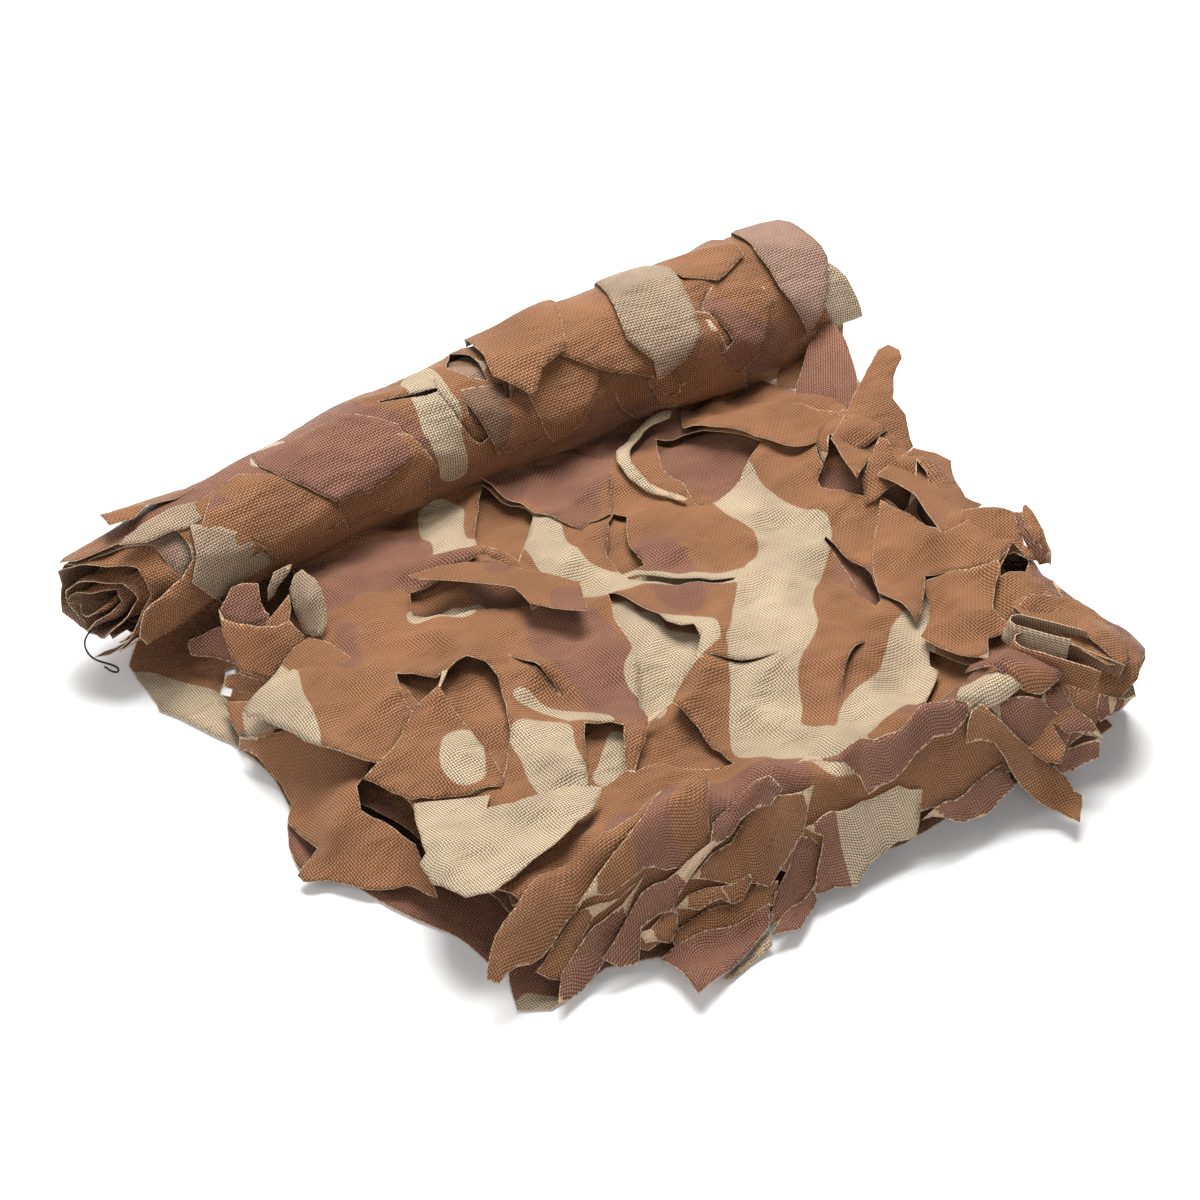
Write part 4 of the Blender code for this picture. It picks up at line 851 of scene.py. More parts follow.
def bend_leaf(a, b, h, probe_a, probe_b, leaf):
    """Bend the part of a sheet that is one leaf: the probes tell a point's side of a cut."""
    along, aside = leaf_frame(probe_a, probe_b, leaf)
    share = along / leaf.length
    within = (share > 0.0) & (share < 1.0) & (np.abs(aside) < leaf_half(share, leaf))
    along, aside = leaf_frame(a, b, leaf)
    steps = np.linspace(0.0, 1.0, LEAF_STEPS + 1)
    slope = np.radians(leaf.lift * np.minimum(steps / LEAF_ROOT, 1.0)
                       + (leaf.droop - leaf.lift) * steps)
    reach, rise = (np.concatenate([[0.0], np.cumsum(part(slope[1:]))]) / LEAF_STEPS * leaf.length
                   for part in (np.cos, np.sin))
    share = np.clip(along / leaf.length, 0.0, 1.0)
    new_a, new_b = plan_place(leaf.x, leaf.y, leaf.heading, np.interp(share, steps, reach),
                              aside + leaf.bow * np.sin(math.pi * share))
    return (np.where(within, new_a, a), np.where(within, new_b, b),
            np.where(within, h + np.interp(share, steps, rise), h))


def slit_frame(x, y, slit):
    """Distance along a slit from its middle and sideways from its line."""
    along, aside = along_across(x, y, slit.x, slit.y, slit.turn)
    return along, aside - slit.bow * (1.0 - (2.0 * along / slit.length) ** 2)


def slit_line(slit, step):
    """The cut of a slit."""
    count = max(4, round(slit.length / step))
    line = []
    for i in range(count + 1):
        along = slit.length * (i / count - 0.5)
        aside = slit.bow * (1.0 - (2.0 * along / slit.length) ** 2)
        line.append(Vector(plan_place(slit.x, slit.y, slit.turn, along, aside)))
    return line


def part_slit(a, b, h, probe_a, probe_b, slit):
    """Lift the cloth on the left of a slit and press it down on the right."""
    along, aside = slit_frame(probe_a, probe_b, slit)
    share = np.clip(np.abs(2.0 * along / slit.length), 0.0, 1.0)
    weight = (1.0 - share ** 2) ** 1.2 * np.exp(-(aside / slit.reach) ** 2)
    left = aside > 0.0
    angle = math.radians(slit.turn)
    slide = np.where(left, -slit.overlap, 0.0) * weight
    a = a - slide * math.sin(angle)
    b = b + slide * math.cos(angle)
    return a, b, h + np.where(left, slit.lift, -slit.drop) * weight


def part_hole(a, b, h, hole):
    """Lift the cloth on one side of an opening and press it down on the other."""
    corners = np.array(hole.outline)
    middle = corners.mean(0)
    angle = math.radians(hole.heading)
    heading = np.array([math.cos(angle), math.sin(angle)])
    half = np.abs((corners - middle) @ heading).max()
    flat = np.stack([a, b], axis=1)
    gap = distance_to_lines(flat, [list(hole.outline) + [hole.outline[0]]])
    side = np.clip(((flat - middle) @ heading) / half, -1.0, 1.0)
    weight = np.exp(-(gap / hole.reach) ** 2)
    return h + weight * np.where(side > 0.0, hole.lift, hole.drop) * side


def distance_to_lines(points, lines):
    """Distance of every point to the nearest of some lines, each a list of points."""
    starts = np.array([p for line in lines for p in line[:-1]])
    ends = np.array([p for line in lines for p in line[1:]])
    span = ends - starts
    length = np.maximum((span ** 2).sum(1), 1e-12)
    best = np.full(len(points), 1e9)
    for first in range(0, len(points), 2000):
        chunk = points[first:first + 2000]
        offset = chunk[:, None, :] - starts[None]
        share = np.clip((offset * span[None]).sum(2) / length[None], 0.0, 1.0)
        gap = offset - share[:, :, None] * span[None]
        best[first:first + 2000] = np.sqrt((gap ** 2).sum(2)).min(1)
    return best


def inside(points, loop):
    """Which points lie within a closed loop."""
    odd = np.zeros(len(points), bool)
    corners = np.array([tuple(p) for p in loop])
    for (ax, ay), (bx, by) in zip(corners, np.roll(corners, -1, axis=0)):
        crosses = (ay > points[:, 1]) != (by > points[:, 1])
        with np.errstate(divide="ignore", invalid="ignore"):
            at = ax + (points[:, 1] - ay) / (by - ay) * (bx - ax)
        odd ^= crosses & (points[:, 0] < at)
    return odd


def flat_points(outline, lines, step, seed):
    """Mesh points of a sheet, in close staggered rows, clear of its edge and cuts."""
    corners = np.array([tuple(p) for p in outline])
    low, high = corners.min(0), corners.max(0)
    rows = np.arange(low[1], high[1], step * ROW_SHARE)
    grid = []
    for index, y in enumerate(rows):
        xs = np.arange(low[0] + 0.5 * step * (index % 2), high[0], step)
        grid.append(np.stack([xs, np.full(len(xs), y)], axis=1))
    grid = np.concatenate(grid)
    jitter = np.random.default_rng(seed).uniform(-JITTER, JITTER, grid.shape) * step
    grid = grid + jitter
    grid = grid[inside(grid, outline)]
    return grid[distance_to_lines(grid, lines) > 0.5 * step]


def cut_sheet(outline, leaves, slits, holes, step, seed):
    """Flat bmesh of a sheet, open along its cuts, and each vertex's distance to an edge."""
    rims = [ragged(hole.outline, seed + 0.5) for hole in holes]
    cuts = [leaf_line(leaf, step) for leaf in leaves] + [slit_line(slit, step) for slit in slits]
    closed = outline + outline[:1]
    points = list(outline)
    edges = [(i, (i + 1) % len(outline)) for i in range(len(outline))]
    for line in cuts:
        first = len(points)
        points += line
        edges += [(first + i, first + i + 1) for i in range(len(line) - 1)]
    cut_edges = len(edges)
    for rim in rims:
        first = len(points)
        points += rim
        edges += [(first + i, first + (i + 1) % len(rim)) for i in range(len(rim))]
    lines = [closed] + cuts + [rim + rim[:1] for rim in rims]
    inner = flat_points(outline, lines, step, seed)
    points += [Vector(p) for p in inner]
    flat, made_edges, faces, _, sources, _ = delaunay_2d_cdt(points, edges, [], 1, 1e-6)
    middles = np.array([sum((flat[i] for i in face), Vector((0.0, 0.0))) / 3.0 for face in faces])
    keep = inside(middles, outline)
    for rim in rims:
        keep &= ~inside(middles, rim)
    sheet = bmesh.new()
    verts = [sheet.verts.new((p.x, p.y, 0.0)) for p in flat]
    for face, kept in zip(faces, keep):
        if kept:
            sheet.faces.new([verts[i] for i in face])
    opened = []
    for (i, j), source in zip(made_edges, sources):
        if any(len(outline) <= s < cut_edges for s in source):
            edge = sheet.edges.get((verts[i], verts[j]))
            if edge:
                opened.append(edge)
    bmesh.ops.split_edges(sheet, edges=opened)
    loose = [vert for vert in sheet.verts if not vert.link_faces]
    bmesh.ops.delete(sheet, geom=loose, context="VERTS")
    sheet.verts.ensure_lookup_table()
    at = np.array([vert.co.xy for vert in sheet.verts])
    return sheet, distance_to_lines(at, lines)


def tan_strokes(x, y, strokes):
    """How deep inside the strokes a point is, in metres: negative outside."""
    best = np.full(len(x), -FAR_DEPTH)
    for x1, y1, x2, y2, half in metres(strokes):
        dx, dy = x2 - x1, y2 - y1
        share = np.clip(((x - x1) * dx + (y - y1) * dy) / (dx * dx + dy * dy + 1e-12), 0.0, 1.0)
        gap = np.hypot(x - x1 - share * dx, y - y1 - share * dy)
        best = np.maximum(best, half - gap)
    return best


def common_print(x, y, seed):
    """The common patches of the print: fields of the tan and of the redder brown."""
    tan = PRINT_DEPTH * (field(x, y, 0.62 * PRINT_SCALE, seed) - 0.30)
    return tan, PRINT_DEPTH * field(x, y, 0.8 * PRINT_SCALE, seed + 11.7)


def stroked_print(tan_table, mauve_table, spread=None):
    """Print fields from strokes; beyond the spread line the common print takes over."""
    def prints(x, y, seed):
        tan = tan_strokes(x, y, tan_table)
        mauve = tan_strokes(x, y, mauve_table)
        if spread is not None:
            more_mauve = common_print(x, y, seed + 3.0)[1]
            mauve = np.maximum(mauve, np.where(x > spread, more_mauve, -FAR_DEPTH))
        return tan, mauve

    return prints


def true_lengths(a, b, place):
    """Cloth coordinates of a laid sheet: lengths along the cloth instead of in the plan."""
    def walk(along_b):
        target = b if along_b else a
        total = np.zeros_like(target)
        last = None
        for share in np.linspace(0.0, 1.0, LENGTH_STEPS):
            moving = target * share
            point = place(a, moving, 0.0 * b) if along_b else place(moving, b, 0.0 * a)
            if last is not None:
                total += np.linalg.norm(point - last, axis=1)
            last = point
        return total * np.sign(target)

    return np.stack([walk(False), walk(True)], axis=1)


def leaf_print(colour):
    """Print of a small leaf: all of one colour, or two that share it."""
    names = [part for part in colour.split("_") if part != "back"]

    def prints(x, y, seed):
        mixed = PRINT_DEPTH * (field(x, y, MIXED_SCALE, seed + 2.2) + 0.02)
        plain = np.full(len(x), FAR_DEPTH)
        tan = (plain if len(names) == 1 else mixed) if "tan" in names else -plain
        mauve = (mixed if "brown" in names else plain) if "mauve" in names else -plain
        for name, strokes in (("drop", DROP_TAN), ("corner", CORNER_TAN)):
            if name in names:
                tan = tan_strokes(x, y, strokes)
        return tan, mauve

    return prints


def make_sheet(name, outline, place, step, seed, leaves=(), slits=(), holes=(), prints=None,
               crease=0.0, crease_seed=None, stand=None, back=False):
    """One sheet: cut flat, its leaves bent and its openings parted, then laid in place."""
    sheet, edge = cut_sheet(outline, leaves, slits, holes, step, seed)
    flat = np.array([vert.co.xy for vert in sheet.verts])
    probe = flat.copy()
    for vert in sheet.verts:
        around = [face.calc_center_median() for face in vert.link_faces]
        middle = sum(around, Vector()) / len(around)
        probe[vert.index] += PROBE_SHARE * (np.array(middle.xy) - flat[vert.index])
    a, b = flat[:, 0].copy(), flat[:, 1].copy()
    h = crumple(a, b, CRUMPLE_SIZE, crease, seed if crease_seed is None else crease_seed)
    if stand is not None:
        h = h + stand(a, b)
    for leaf in leaves:
        a, b, h = bend_leaf(a, b, h, probe[:, 0], probe[:, 1], leaf)
    for slit in slits:
        a, b, h = part_slit(a, b, h, probe[:, 0], probe[:, 1], slit)
    for hole in holes:
        h = part_hole(a, b, h, hole)
    placed = place(a, b, h)
    placed[:, 2] = np.maximum(placed[:, 2], ON_FLOOR)
    for vert, point in zip(sheet.verts, placed):
        vert.co = point
    tan_depth, mauve_depth = (prints or common_print)(flat[:, 0], flat[:, 1], seed)
    cloth = true_lengths(flat[:, 0], flat[:, 1], place)
    piece = finish_sheet(name, sheet, cloth, edge, tan_depth, mauve_depth)
    if back:
        piece.data.materials[0], piece.data.materials[1] = cloth_back, cloth_face
    return piece


def finish_sheet(name, sheet, flat, edge, tan_depth, mauve_depth):
    """Turn a bmesh into an object with its cloth coordinates, print fields and thickness."""
    layer = sheet.loops.layers.uv.new("cloth")
    for face in sheet.faces:
        face.smooth = True
        for loop in face.loops:
            loop[layer].uv = flat[loop.vert.index]
    data = bpy.data.meshes.new(name)
    sheet.to_mesh(data)
    sheet.free()
    for title, values in (("edge", edge), ("tan", tan_depth), ("mauve", mauve_depth)):
        attribute = data.attributes.new(title, "FLOAT", "POINT")
        attribute.data.foreach_set("value", np.asarray(values, np.float32))
    piece = link(name, data)
    for material in (cloth_face, cloth_back, cloth_edge):
        data.materials.append(material)
    thick = piece.modifiers.new("thickness", "SOLIDIFY")
    thick.thickness = CLOTH
    thick.offset = 0.0
    thick.material_offset = 1
    thick.material_offset_rim = 2
    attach(piece, "root")
    return piece


# Materials --------------------------------------------------------------------------------

def feed(tree, socket, value):
    """Link an input to a socket, or give it a value."""
    if isinstance(value, bpy.types.NodeSocket):
        tree.links.new(value, socket)
    else:
        socket.default_value = value


def add_node(tree, kind, inputs=None, **settings):
    """A shader node with its settings and with inputs that are fed by name or number."""
    node = tree.nodes.new("ShaderNode" + kind)
    for key, value in settings.items():
        setattr(node, key, value)
    for key, value in (inputs or {}).items():
        feed(tree, node.inputs[key], value)
    return node


def new_group(name, inputs, outputs):
    """An empty shader node group with its sockets, their names and kinds."""
    group = bpy.data.node_groups.new(name, "ShaderNodeTree")
    for titles, way in ((inputs, "INPUT"), (outputs, "OUTPUT")):
        for title, kind in titles.items():
            group.interface.new_socket(title, in_out=way, socket_type="NodeSocket" + kind)
    return group, group.nodes.new("NodeGroupInput"), group.nodes.new("NodeGroupOutput")


def math_node(tree, operation, *values):
    """A Math node whose inputs are sockets or numbers."""
    return add_node(tree, "Math", dict(enumerate(values)), operation=operation).outputs[0]


def ramp_node(tree, value, low, high, to_low=0.0, to_high=1.0):
    """A smooth step between two values."""
    inputs = {"Value": value, "From Min": low, "From Max": high, "To Min": to_low,
              "To Max": to_high}
    return add_node(tree, "MapRange", inputs, interpolation_type="SMOOTHSTEP").outputs["Result"]


def noise_node(tree, vector, size, detail=2.0, roughness=0.5):
    """Noise whose patches are about one size across, in metres."""
    inputs = {"Scale": 1.0 / size, "Detail": detail, "Roughness": roughness, "Vector": vector}
    return add_node(tree, "TexNoise", inputs).outputs["Fac"]


def mix_colour(tree, factor, first, second, blend="MIX"):
    """A colour mix whose inputs are sockets or values."""
    inputs = {0: factor, 6: first, 7: second}
    return add_node(tree, "Mix", inputs, data_type="RGBA", blend_type=blend).outputs[2]


def make_weave_group():
    """Plain weave: threads go over and under each other. Gives a height, and painted light for the
    colour: painted shade in the gaps between threads, a painted highlight on their tops.
    """
    group, start, end = new_group("weave", {"Cloth": "Vector"},
                                  {"Height": "Float", "Painted Light": "Float"})
    parts = add_node(group, "SeparateXYZ", {0: start.outputs["Cloth"]})
    waves = []
    for index in range(2):
        cells = math_node(group, "DIVIDE", parts.outputs[index], WEAVE)
        waves.append(math_node(group, "SINE", math_node(group, "MULTIPLY", cells, math.pi)))
    crossing = math_node(group, "MULTIPLY", *waves)
    over = ramp_node(group, crossing, -WEAVE_CHANGE, WEAVE_CHANGE)
    warp, weft = (math_node(group, "ABSOLUTE", wave) for wave in waves)
    under = math_node(group, "SUBTRACT", 1.0, over)
    height = math_node(group, "ADD", math_node(group, "MULTIPLY", warp, over),
                       math_node(group, "MULTIPLY", weft, under))
    feed(group, end.inputs["Height"], height)
    # Painted shade in the gaps between threads, painted highlight on their tops
    feed(group, end.inputs["Painted Light"], ramp_node(group, height, *WEAVE_PAINTED_LIGHT))
    return group


def make_print_group():
    """Tan and two browns, their borders worked from the sheet's print fields."""
    group, start, end = new_group(
        "camouflage_print",
        {"Cloth": "Vector", "Tan Field": "Float", "Mauve Field": "Float", "Tan": "Color",
         "Brown": "Color", "Mauve": "Color"}, {"Color": "Color"})
    waves = noise_node(group, start.outputs["Cloth"], PRINT_WAVES, 0.0)
    wander = math_node(group, "MULTIPLY", math_node(group, "SUBTRACT", waves, 0.5), PRINT_WANDER)
    tan = math_node(group, "ADD", start.outputs["Tan Field"], wander)
    mauve = math_node(group, "ADD", start.outputs["Mauve Field"], wander)
    browns = mix_colour(group, ramp_node(group, mauve, -MAUVE_BLUR, MAUVE_BLUR),
                        start.outputs["Brown"], start.outputs["Mauve"])
    colour = mix_colour(group, ramp_node(group, tan, -TAN_BLUR, TAN_BLUR), browns,
                        start.outputs["Tan"])
    feed(group, end.inputs["Color"], colour)
    return group


def make_crease_group():
    """Fine sharp creases of coated cloth. Gives a height."""
    group, start, end = new_group("fine_creases", {"Cloth": "Vector"}, {"Height": "Float"})
    total = None
    for size, share, turn in FINE_CREASES:
        turned = add_node(group, "Mapping", {"Rotation": (0.0, 0.0, math.radians(turn)),
                                             "Scale": (0.4, 1.0, 1.0),
                                             "Vector": start.outputs["Cloth"]})
        wave = math_node(group, "SUBTRACT", noise_node(group, turned.outputs[0], size, 1.0), 0.5)
        fold = math_node(group, "MULTIPLY", math_node(group, "ABSOLUTE", wave), -share)
        total = fold if total is None else math_node(group, "ADD", total, fold)
    feed(group, end.inputs["Height"], total)
    return group


def make_edge_group():
    """Frayed pale line along a cut edge, from the distance to the edge."""
    group, start, end = new_group("cut_edge", {"Cloth": "Vector", "Distance": "Float"},
                                  {"Mask": "Float"})
    fray = ramp_node(group, noise_node(group, start.outputs["Cloth"], FRAY_SIZE), *FRAY)
    width = math_node(group, "MULTIPLY", fray, EDGE_WIDTH)
    share = math_node(group, "DIVIDE", start.outputs["Distance"], width)
    near = math_node(group, "SUBTRACT", 1.0, share)
    feed(group, end.inputs["Mask"], ramp_node(group, near, 0.0, 0.5))
    return group


def attribute_node(tree, name):
    """A stored number of the mesh."""
    return add_node(tree, "Attribute", attribute_name=name).outputs["Fac"]


def new_material(name):
    """A material, its node tree and the inputs of its shader."""
    material = bpy.data.materials.new(name)
    material.use_nodes = True
    return material, material.node_tree, material.node_tree.nodes["Principled BSDF"].inputs


def make_cloth_material(name, colours, roughness):
    """Printed coated weave with pale cut edges and the weave's painted shade and painted
    highlight.
    """
    material, tree, surface = new_material(name)
    cloth = add_node(tree, "UVMap", uv_map="cloth").outputs["UV"]
    printed = add_node(tree, "Group", {
        "Cloth": cloth, "Tan Field": attribute_node(tree, "tan"),
        "Mauve Field": attribute_node(tree, "mauve"), "Tan": colours[0], "Brown": colours[1],
        "Mauve": colours[2]}, node_tree=print_group)
    weave = add_node(tree, "Group", {"Cloth": cloth}, node_tree=weave_group)
    edge = add_node(tree, "Group", {"Cloth": cloth, "Distance": attribute_node(tree, "edge")},
                    node_tree=edge_group)
    creases = add_node(tree, "Group", {"Cloth": cloth}, node_tree=crease_group)
    fade = ramp_node(tree, noise_node(tree, cloth, FADE_SIZE, 3.0, 0.6), *FADE)
    # The print is darkened by painted shade in the weave's gaps, lightened by a painted highlight
    # on its threads, and changed at random by the fade
    weave_light_and_fade = math_node(tree, "MULTIPLY", weave.outputs["Painted Light"], fade)
    shade = add_node(tree, "CombineColor", {index: weave_light_and_fade for index in range(3)}).outputs[0]
    colour = mix_colour(tree, 1.0, printed.outputs["Color"], shade, "MULTIPLY")
    colour = mix_colour(tree, edge.outputs["Mask"], colour, PALE_EDGE)
    folds = add_node(tree, "Bump", {"Strength": 1.0, "Distance": CREASE_BUMP,
                                    "Height": creases.outputs["Height"]})
    bump = add_node(tree, "Bump", {"Strength": 1.0, "Distance": WEAVE_BUMP,
                                   "Height": weave.outputs["Height"],
                                   "Normal": folds.outputs["Normal"]})
    for title, value in (("Base Color", colour), ("Normal", bump.outputs["Normal"]),
                         ("Roughness", roughness), ("Specular IOR Level", SPECULAR),
                         ("Sheen Weight", SHEEN), ("Sheen Roughness", SHEEN_ROUGHNESS)):
        feed(tree, surface[title], value)
    return material


def make_thread_material():
    """Fine twisted black thread."""
    material, tree, surface = new_material("black_thread")
    place = add_node(tree, "TexCoord").outputs["Object"]
    wave = add_node(tree, "TexWave", {"Scale": THREAD_TWIST, "Vector": place},
                    bands_direction="DIAGONAL").outputs["Fac"]
    bump = add_node(tree, "Bump", {"Distance": THREAD_BUMP, "Height": wave})
    feed(tree, surface["Base Color"], mix_colour(tree, wave, *THREAD_COLOURS))
    feed(tree, surface["Normal"], bump.outputs["Normal"])
    feed(tree, surface["Roughness"], 0.6)
    return material


weave_group = make_weave_group()
print_group = make_print_group()
edge_group = make_edge_group()
crease_group = make_crease_group()
cloth_face = make_cloth_material("printed_cloth", FACE_COLOURS, 0.52)
cloth_back = make_cloth_material("printed_cloth_back", BACK_COLOURS, 0.62)
cloth_edge = make_cloth_material("cloth_cut_edge", EDGE_COLOURS, 0.75)


# Camera, floor and light ------------------------------------------------------------------

def aim(thing, place, direction):
    """Put a camera or a light at a place and turn it to a direction."""
    thing.location = place
    thing.rotation_mode = "QUATERNION"
    thing.rotation_quaternion = direction.to_track_quat("-Z", "Y")


def make_camera():
    """The photograph's view."""
    azimuth = math.radians(CAMERA_AZIMUTH)
    elevation = math.radians(CAMERA_ELEVATION)
    back = Vector((math.sin(azimuth) * math.cos(elevation),
                   -math.cos(azimuth) * math.cos(elevation), math.sin(elevation)))
    data = bpy.data.cameras.new("camera")
    data.lens = CAMERA_LENS
    camera = link("camera", data)
    aim(camera, TARGET + back * CAMERA_DISTANCE, -back)
    bpy.context.scene.camera = camera


def make_floor():
    """A pale studio floor."""
    sheet = bmesh.new()
    bmesh.ops.create_grid(sheet, x_segments=1, y_segments=1, size=FLOOR_HALF)
    data = bpy.data.meshes.new("floor")
    sheet.to_mesh(data)
    sheet.free()
    floor = link("floor", data)
    floor.location.z = -FLOOR_GAP
    material, tree, surface = new_material("pale_floor")
    feed(tree, surface["Base Color"], FLOOR_COLOUR)
    feed(tree, surface["Roughness"], 0.85)
    data.materials.append(material)


def add_soft_light(name, place, size, power):
    """A square soft box that faces the net."""
    data = bpy.data.lights.new(name, "AREA")
    data.size = size
    data.energy = power
    aim(link(name, data), place, TARGET - Vector(place))


def make_light():
    """White surroundings and three soft boxes."""
    world = bpy.data.worlds.new("studio")
    world.use_nodes = True
    background = world.node_tree.nodes["Background"].inputs
    background["Color"].default_value = (1.0, 1.0, 1.0, 1.0)
    background["Strength"].default_value = WORLD_LIGHT
    bpy.context.scene.world = world
    for light in SOFT_BOXES:
        add_soft_light(*light)
    bpy.context.scene.view_settings.view_transform = "Standard"


# Thread -----------------------------------------------------------------------------------

def smooth_route(route, count):
    """Catmull-Rom curve through the route's points."""
    knots = [Vector(point) for point in route]
    knots = [2.0 * knots[0] - knots[1]] + knots + [2.0 * knots[-1] - knots[-2]]
    points = []
    for i in range(count + 1):
        position = (len(route) - 1) * i / count
        start = min(int(position), len(route) - 2)
        t = position - start
        a, b, c, d = knots[start:start + 4]
        points.append(0.5 * (2.0 * b + (c - a) * t + (2.0 * a - 5.0 * b + 4.0 * c - d) * t ** 2
                             + (3.0 * b - 3.0 * c + d - a) * t ** 3))
    return points


def make_thread():
    """The loose thread at the near end of the roll."""
    curve = bpy.data.curves.new("loose_thread", "CURVE")
    curve.dimensions = "3D"
    curve.bevel_depth = THREAD_RADIUS
    curve.bevel_resolution = 3
    curve.use_fill_caps = True
    spline = curve.splines.new("POLY")
    points = smooth_route(THREAD_ROUTE, THREAD_POINTS)
    spline.points.add(len(points) - 1)
    for target, point in zip(spline.points, points):
        target.co = (*point, 1.0)
    curve.materials.append(make_thread_material())
    thread = link("loose_thread", curve)
    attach(thread, "root")
    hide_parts("thread_end")


def declare(piece):
    """Work out the size and area of a piece's cloth coordinates; nothing is done with them."""
    layer = piece.data.uv_layers["cloth"].data
    cloth = np.array([tuple(corner.uv) for corner in layer])
    loops = np.array([poly.loop_indices[:] for poly in piece.data.polygons])
    p, q, r = cloth[loops[:, 0]], cloth[loops[:, 1]], cloth[loops[:, 2]]
    area = 0.5 * np.abs((q[:, 0] - p[:, 0]) * (r[:, 1] - p[:, 1])
                        - (r[:, 0] - p[:, 0]) * (q[:, 1] - p[:, 1])).sum()
    sizes = []
    for turn in np.radians(np.arange(0.0, 90.0, 3.0)):
        along = cloth @ np.array([math.cos(turn), math.sin(turn)])
        across = cloth @ np.array([-math.sin(turn), math.cos(turn)])
        sizes.append((float(along.max() - along.min()), float(across.max() - across.min())))
    size = min((pair for pair in sizes if min(pair) > SMALLEST_SHEET), key=math.prod)
    area = min(max(float(area), LEAST_FILL * size[0] * size[1]), size[0] * size[1])


# Pieces -----------------------------------------------------------------------------------

def ply_outline(left, front, right, seed):
    """Outline of a ply, counter-clockwise from its back left corner."""
    return ragged(metres(left + front) + [(right, BACK_Y)], seed)


def staggered_leaves(x_range, y_range, step_x, step_y, seed, lift=14.0):
    """The net's common cuts: leaves in staggered rows, each a little different."""
    rng = np.random.default_rng(seed)
    leaves = []
    rows = int((y_range[1] - y_range[0]) / step_y)
    for row in range(rows):
        y = y_range[0] + (row + 0.5) * step_y
        x = x_range[0] + step_x * (0.5 + 0.5 * (row % 2))
        while x < x_range[1]:
            turn = (40.0, 220.0, 130.0, 310.0)[(row + round(x / step_x)) % 4]
            leaves.append(Leaf(x + rng.uniform(-COMMON_STRAY, COMMON_STRAY),
                               y + rng.uniform(-COMMON_STRAY, COMMON_STRAY),
                               turn + rng.uniform(-20, 20),
                               COMMON_LENGTH * rng.uniform(0.85, 1.1),
                               COMMON_WIDTH * rng.uniform(0.8, 1.2), rng.uniform(0.3, 0.9),
                               rng.uniform(-COMMON_STRAY, COMMON_STRAY),
                               lift * rng.uniform(-0.9, 1.0), rng.uniform(-16.0, 4.0)))
            x += step_x
    return leaves


def make_heap():
    """The four plies of the loose end, the top one with the photograph's cuts."""
    top = make_sheet("top_ply", ply_outline(TOP_LEFT, TOP_FRONT, TOP_RIGHT, 1.0),
                     ply_place(PLIES - 1, TOP_FOLDS), UPPER_MESH, 1, TOP_LEAVES, TOP_SLITS,
                     in_metres(TOP_HOLES, metres), stroked_print(TOP_TAN, TOP_MAUVE, RIGHT),
                     HEAP_CREASE, HEAP_CREASE_SEED)
    declare(top)
    third = make_sheet("third_ply", ply_outline(THIRD_LEFT, THIRD_FRONT, THIRD_RIGHT, 2.0),
                       ply_place(THIRD_LEVEL, TOP_FOLDS), THIRD_MESH, 2,
                       prints=stroked_print(THIRD_TAN, THIRD_MAUVE),
                       crease=HEAP_CREASE, crease_seed=HEAP_CREASE_SEED)
    declare(third)
    second = make_sheet("second_ply", ply_outline(SECOND_LEFT, SECOND_FRONT, SECOND_RIGHT, 3.0),
                        ply_place(1), LOWER_MESH, 3,
                        staggered_leaves((-0.10, 0.14), (-0.08, 0.15), 0.060, 0.052, 6),
                        prints=stroked_print(SECOND_TAN, SECOND_MAUVE), crease=SECOND_CREASE)
    declare(second)
    bottom = make_sheet("bottom_ply", ply_outline(BOTTOM_LEFT, BOTTOM_FRONT, BOTTOM_RIGHT, 4.0),
                        ply_place(0), LOWER_MESH, 4,
                        staggered_leaves((-0.14, 0.13), (-0.08, 0.15), 0.064, 0.054, 7, 8.0),
                        holes=in_metres(BOTTOM_HOLES, metres),
                        prints=stroked_print(BOTTOM_TAN, BOTTOM_MAUVE), crease=SMOOTH_CREASE)
    declare(bottom)
    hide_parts("net")


def in_metres(holes, convert):
    """Openings with their outlines in metres."""
    return [hole._replace(outline=convert(hole.outline)) for hole in holes]


def make_roll():
    """The outer turn of the roll and the turn under it."""
    outer = make_sheet("roll_outer_turn", ragged(arcs(ROLL_OUTER), 5.0), roll_place(), UPPER_MESH,
                       8, roll_leaves(), holes=in_metres(ROLL_HOLES, arcs),
                       prints=stroked_print(ROLL_TAN, ROLL_MAUVE), crease=ROLL_CREASE)
    declare(outer)
    inner = make_sheet("roll_second_turn", ragged(arcs(ROLL_SECOND), 6.0),
                       roll_place(lift=-UNDER_TURN), LOWER_MESH, 9, crease=ROLL_CREASE, back=True)
    declare(inner)


def on_roll(x, degrees, *shape):
    """A leaf on the roll, placed by its angle round it: 0 is the front, 90 the top."""
    return Leaf(x, math.radians(degrees) * ROLL_RADIUS, *shape)


def roll_leaves():
    """Leaves of the outer turn."""
    return (
        on_roll(-0.104, 70.0, -150.0, 0.052, 0.040, 0.5, 0.003, 5.0, 2.0),
        on_roll(-0.048, 60.0, -70.0, 0.046, 0.036, 0.4, -0.004, 5.0, 1.0),
        on_roll(0.006, 92.0, -100.0, 0.040, 0.036, 0.5, 0.004, -8.0, 0.0),
        on_roll(0.050, 96.0, -105.0, 0.056, 0.042, 0.4, 0.004, 7.0, 3.0),
        on_roll(0.104, 92.0, -96.0, 0.052, 0.034, 0.2, 0.003, 5.0, 2.0),
        on_roll(0.148, 62.0, -110.0, 0.040, 0.036, 0.6, -0.003, 6.0, 2.0),
        on_roll(0.080, 20.0, -60.0, 0.036, 0.030, 0.6, 0.003, 6.0, 2.0),
    )


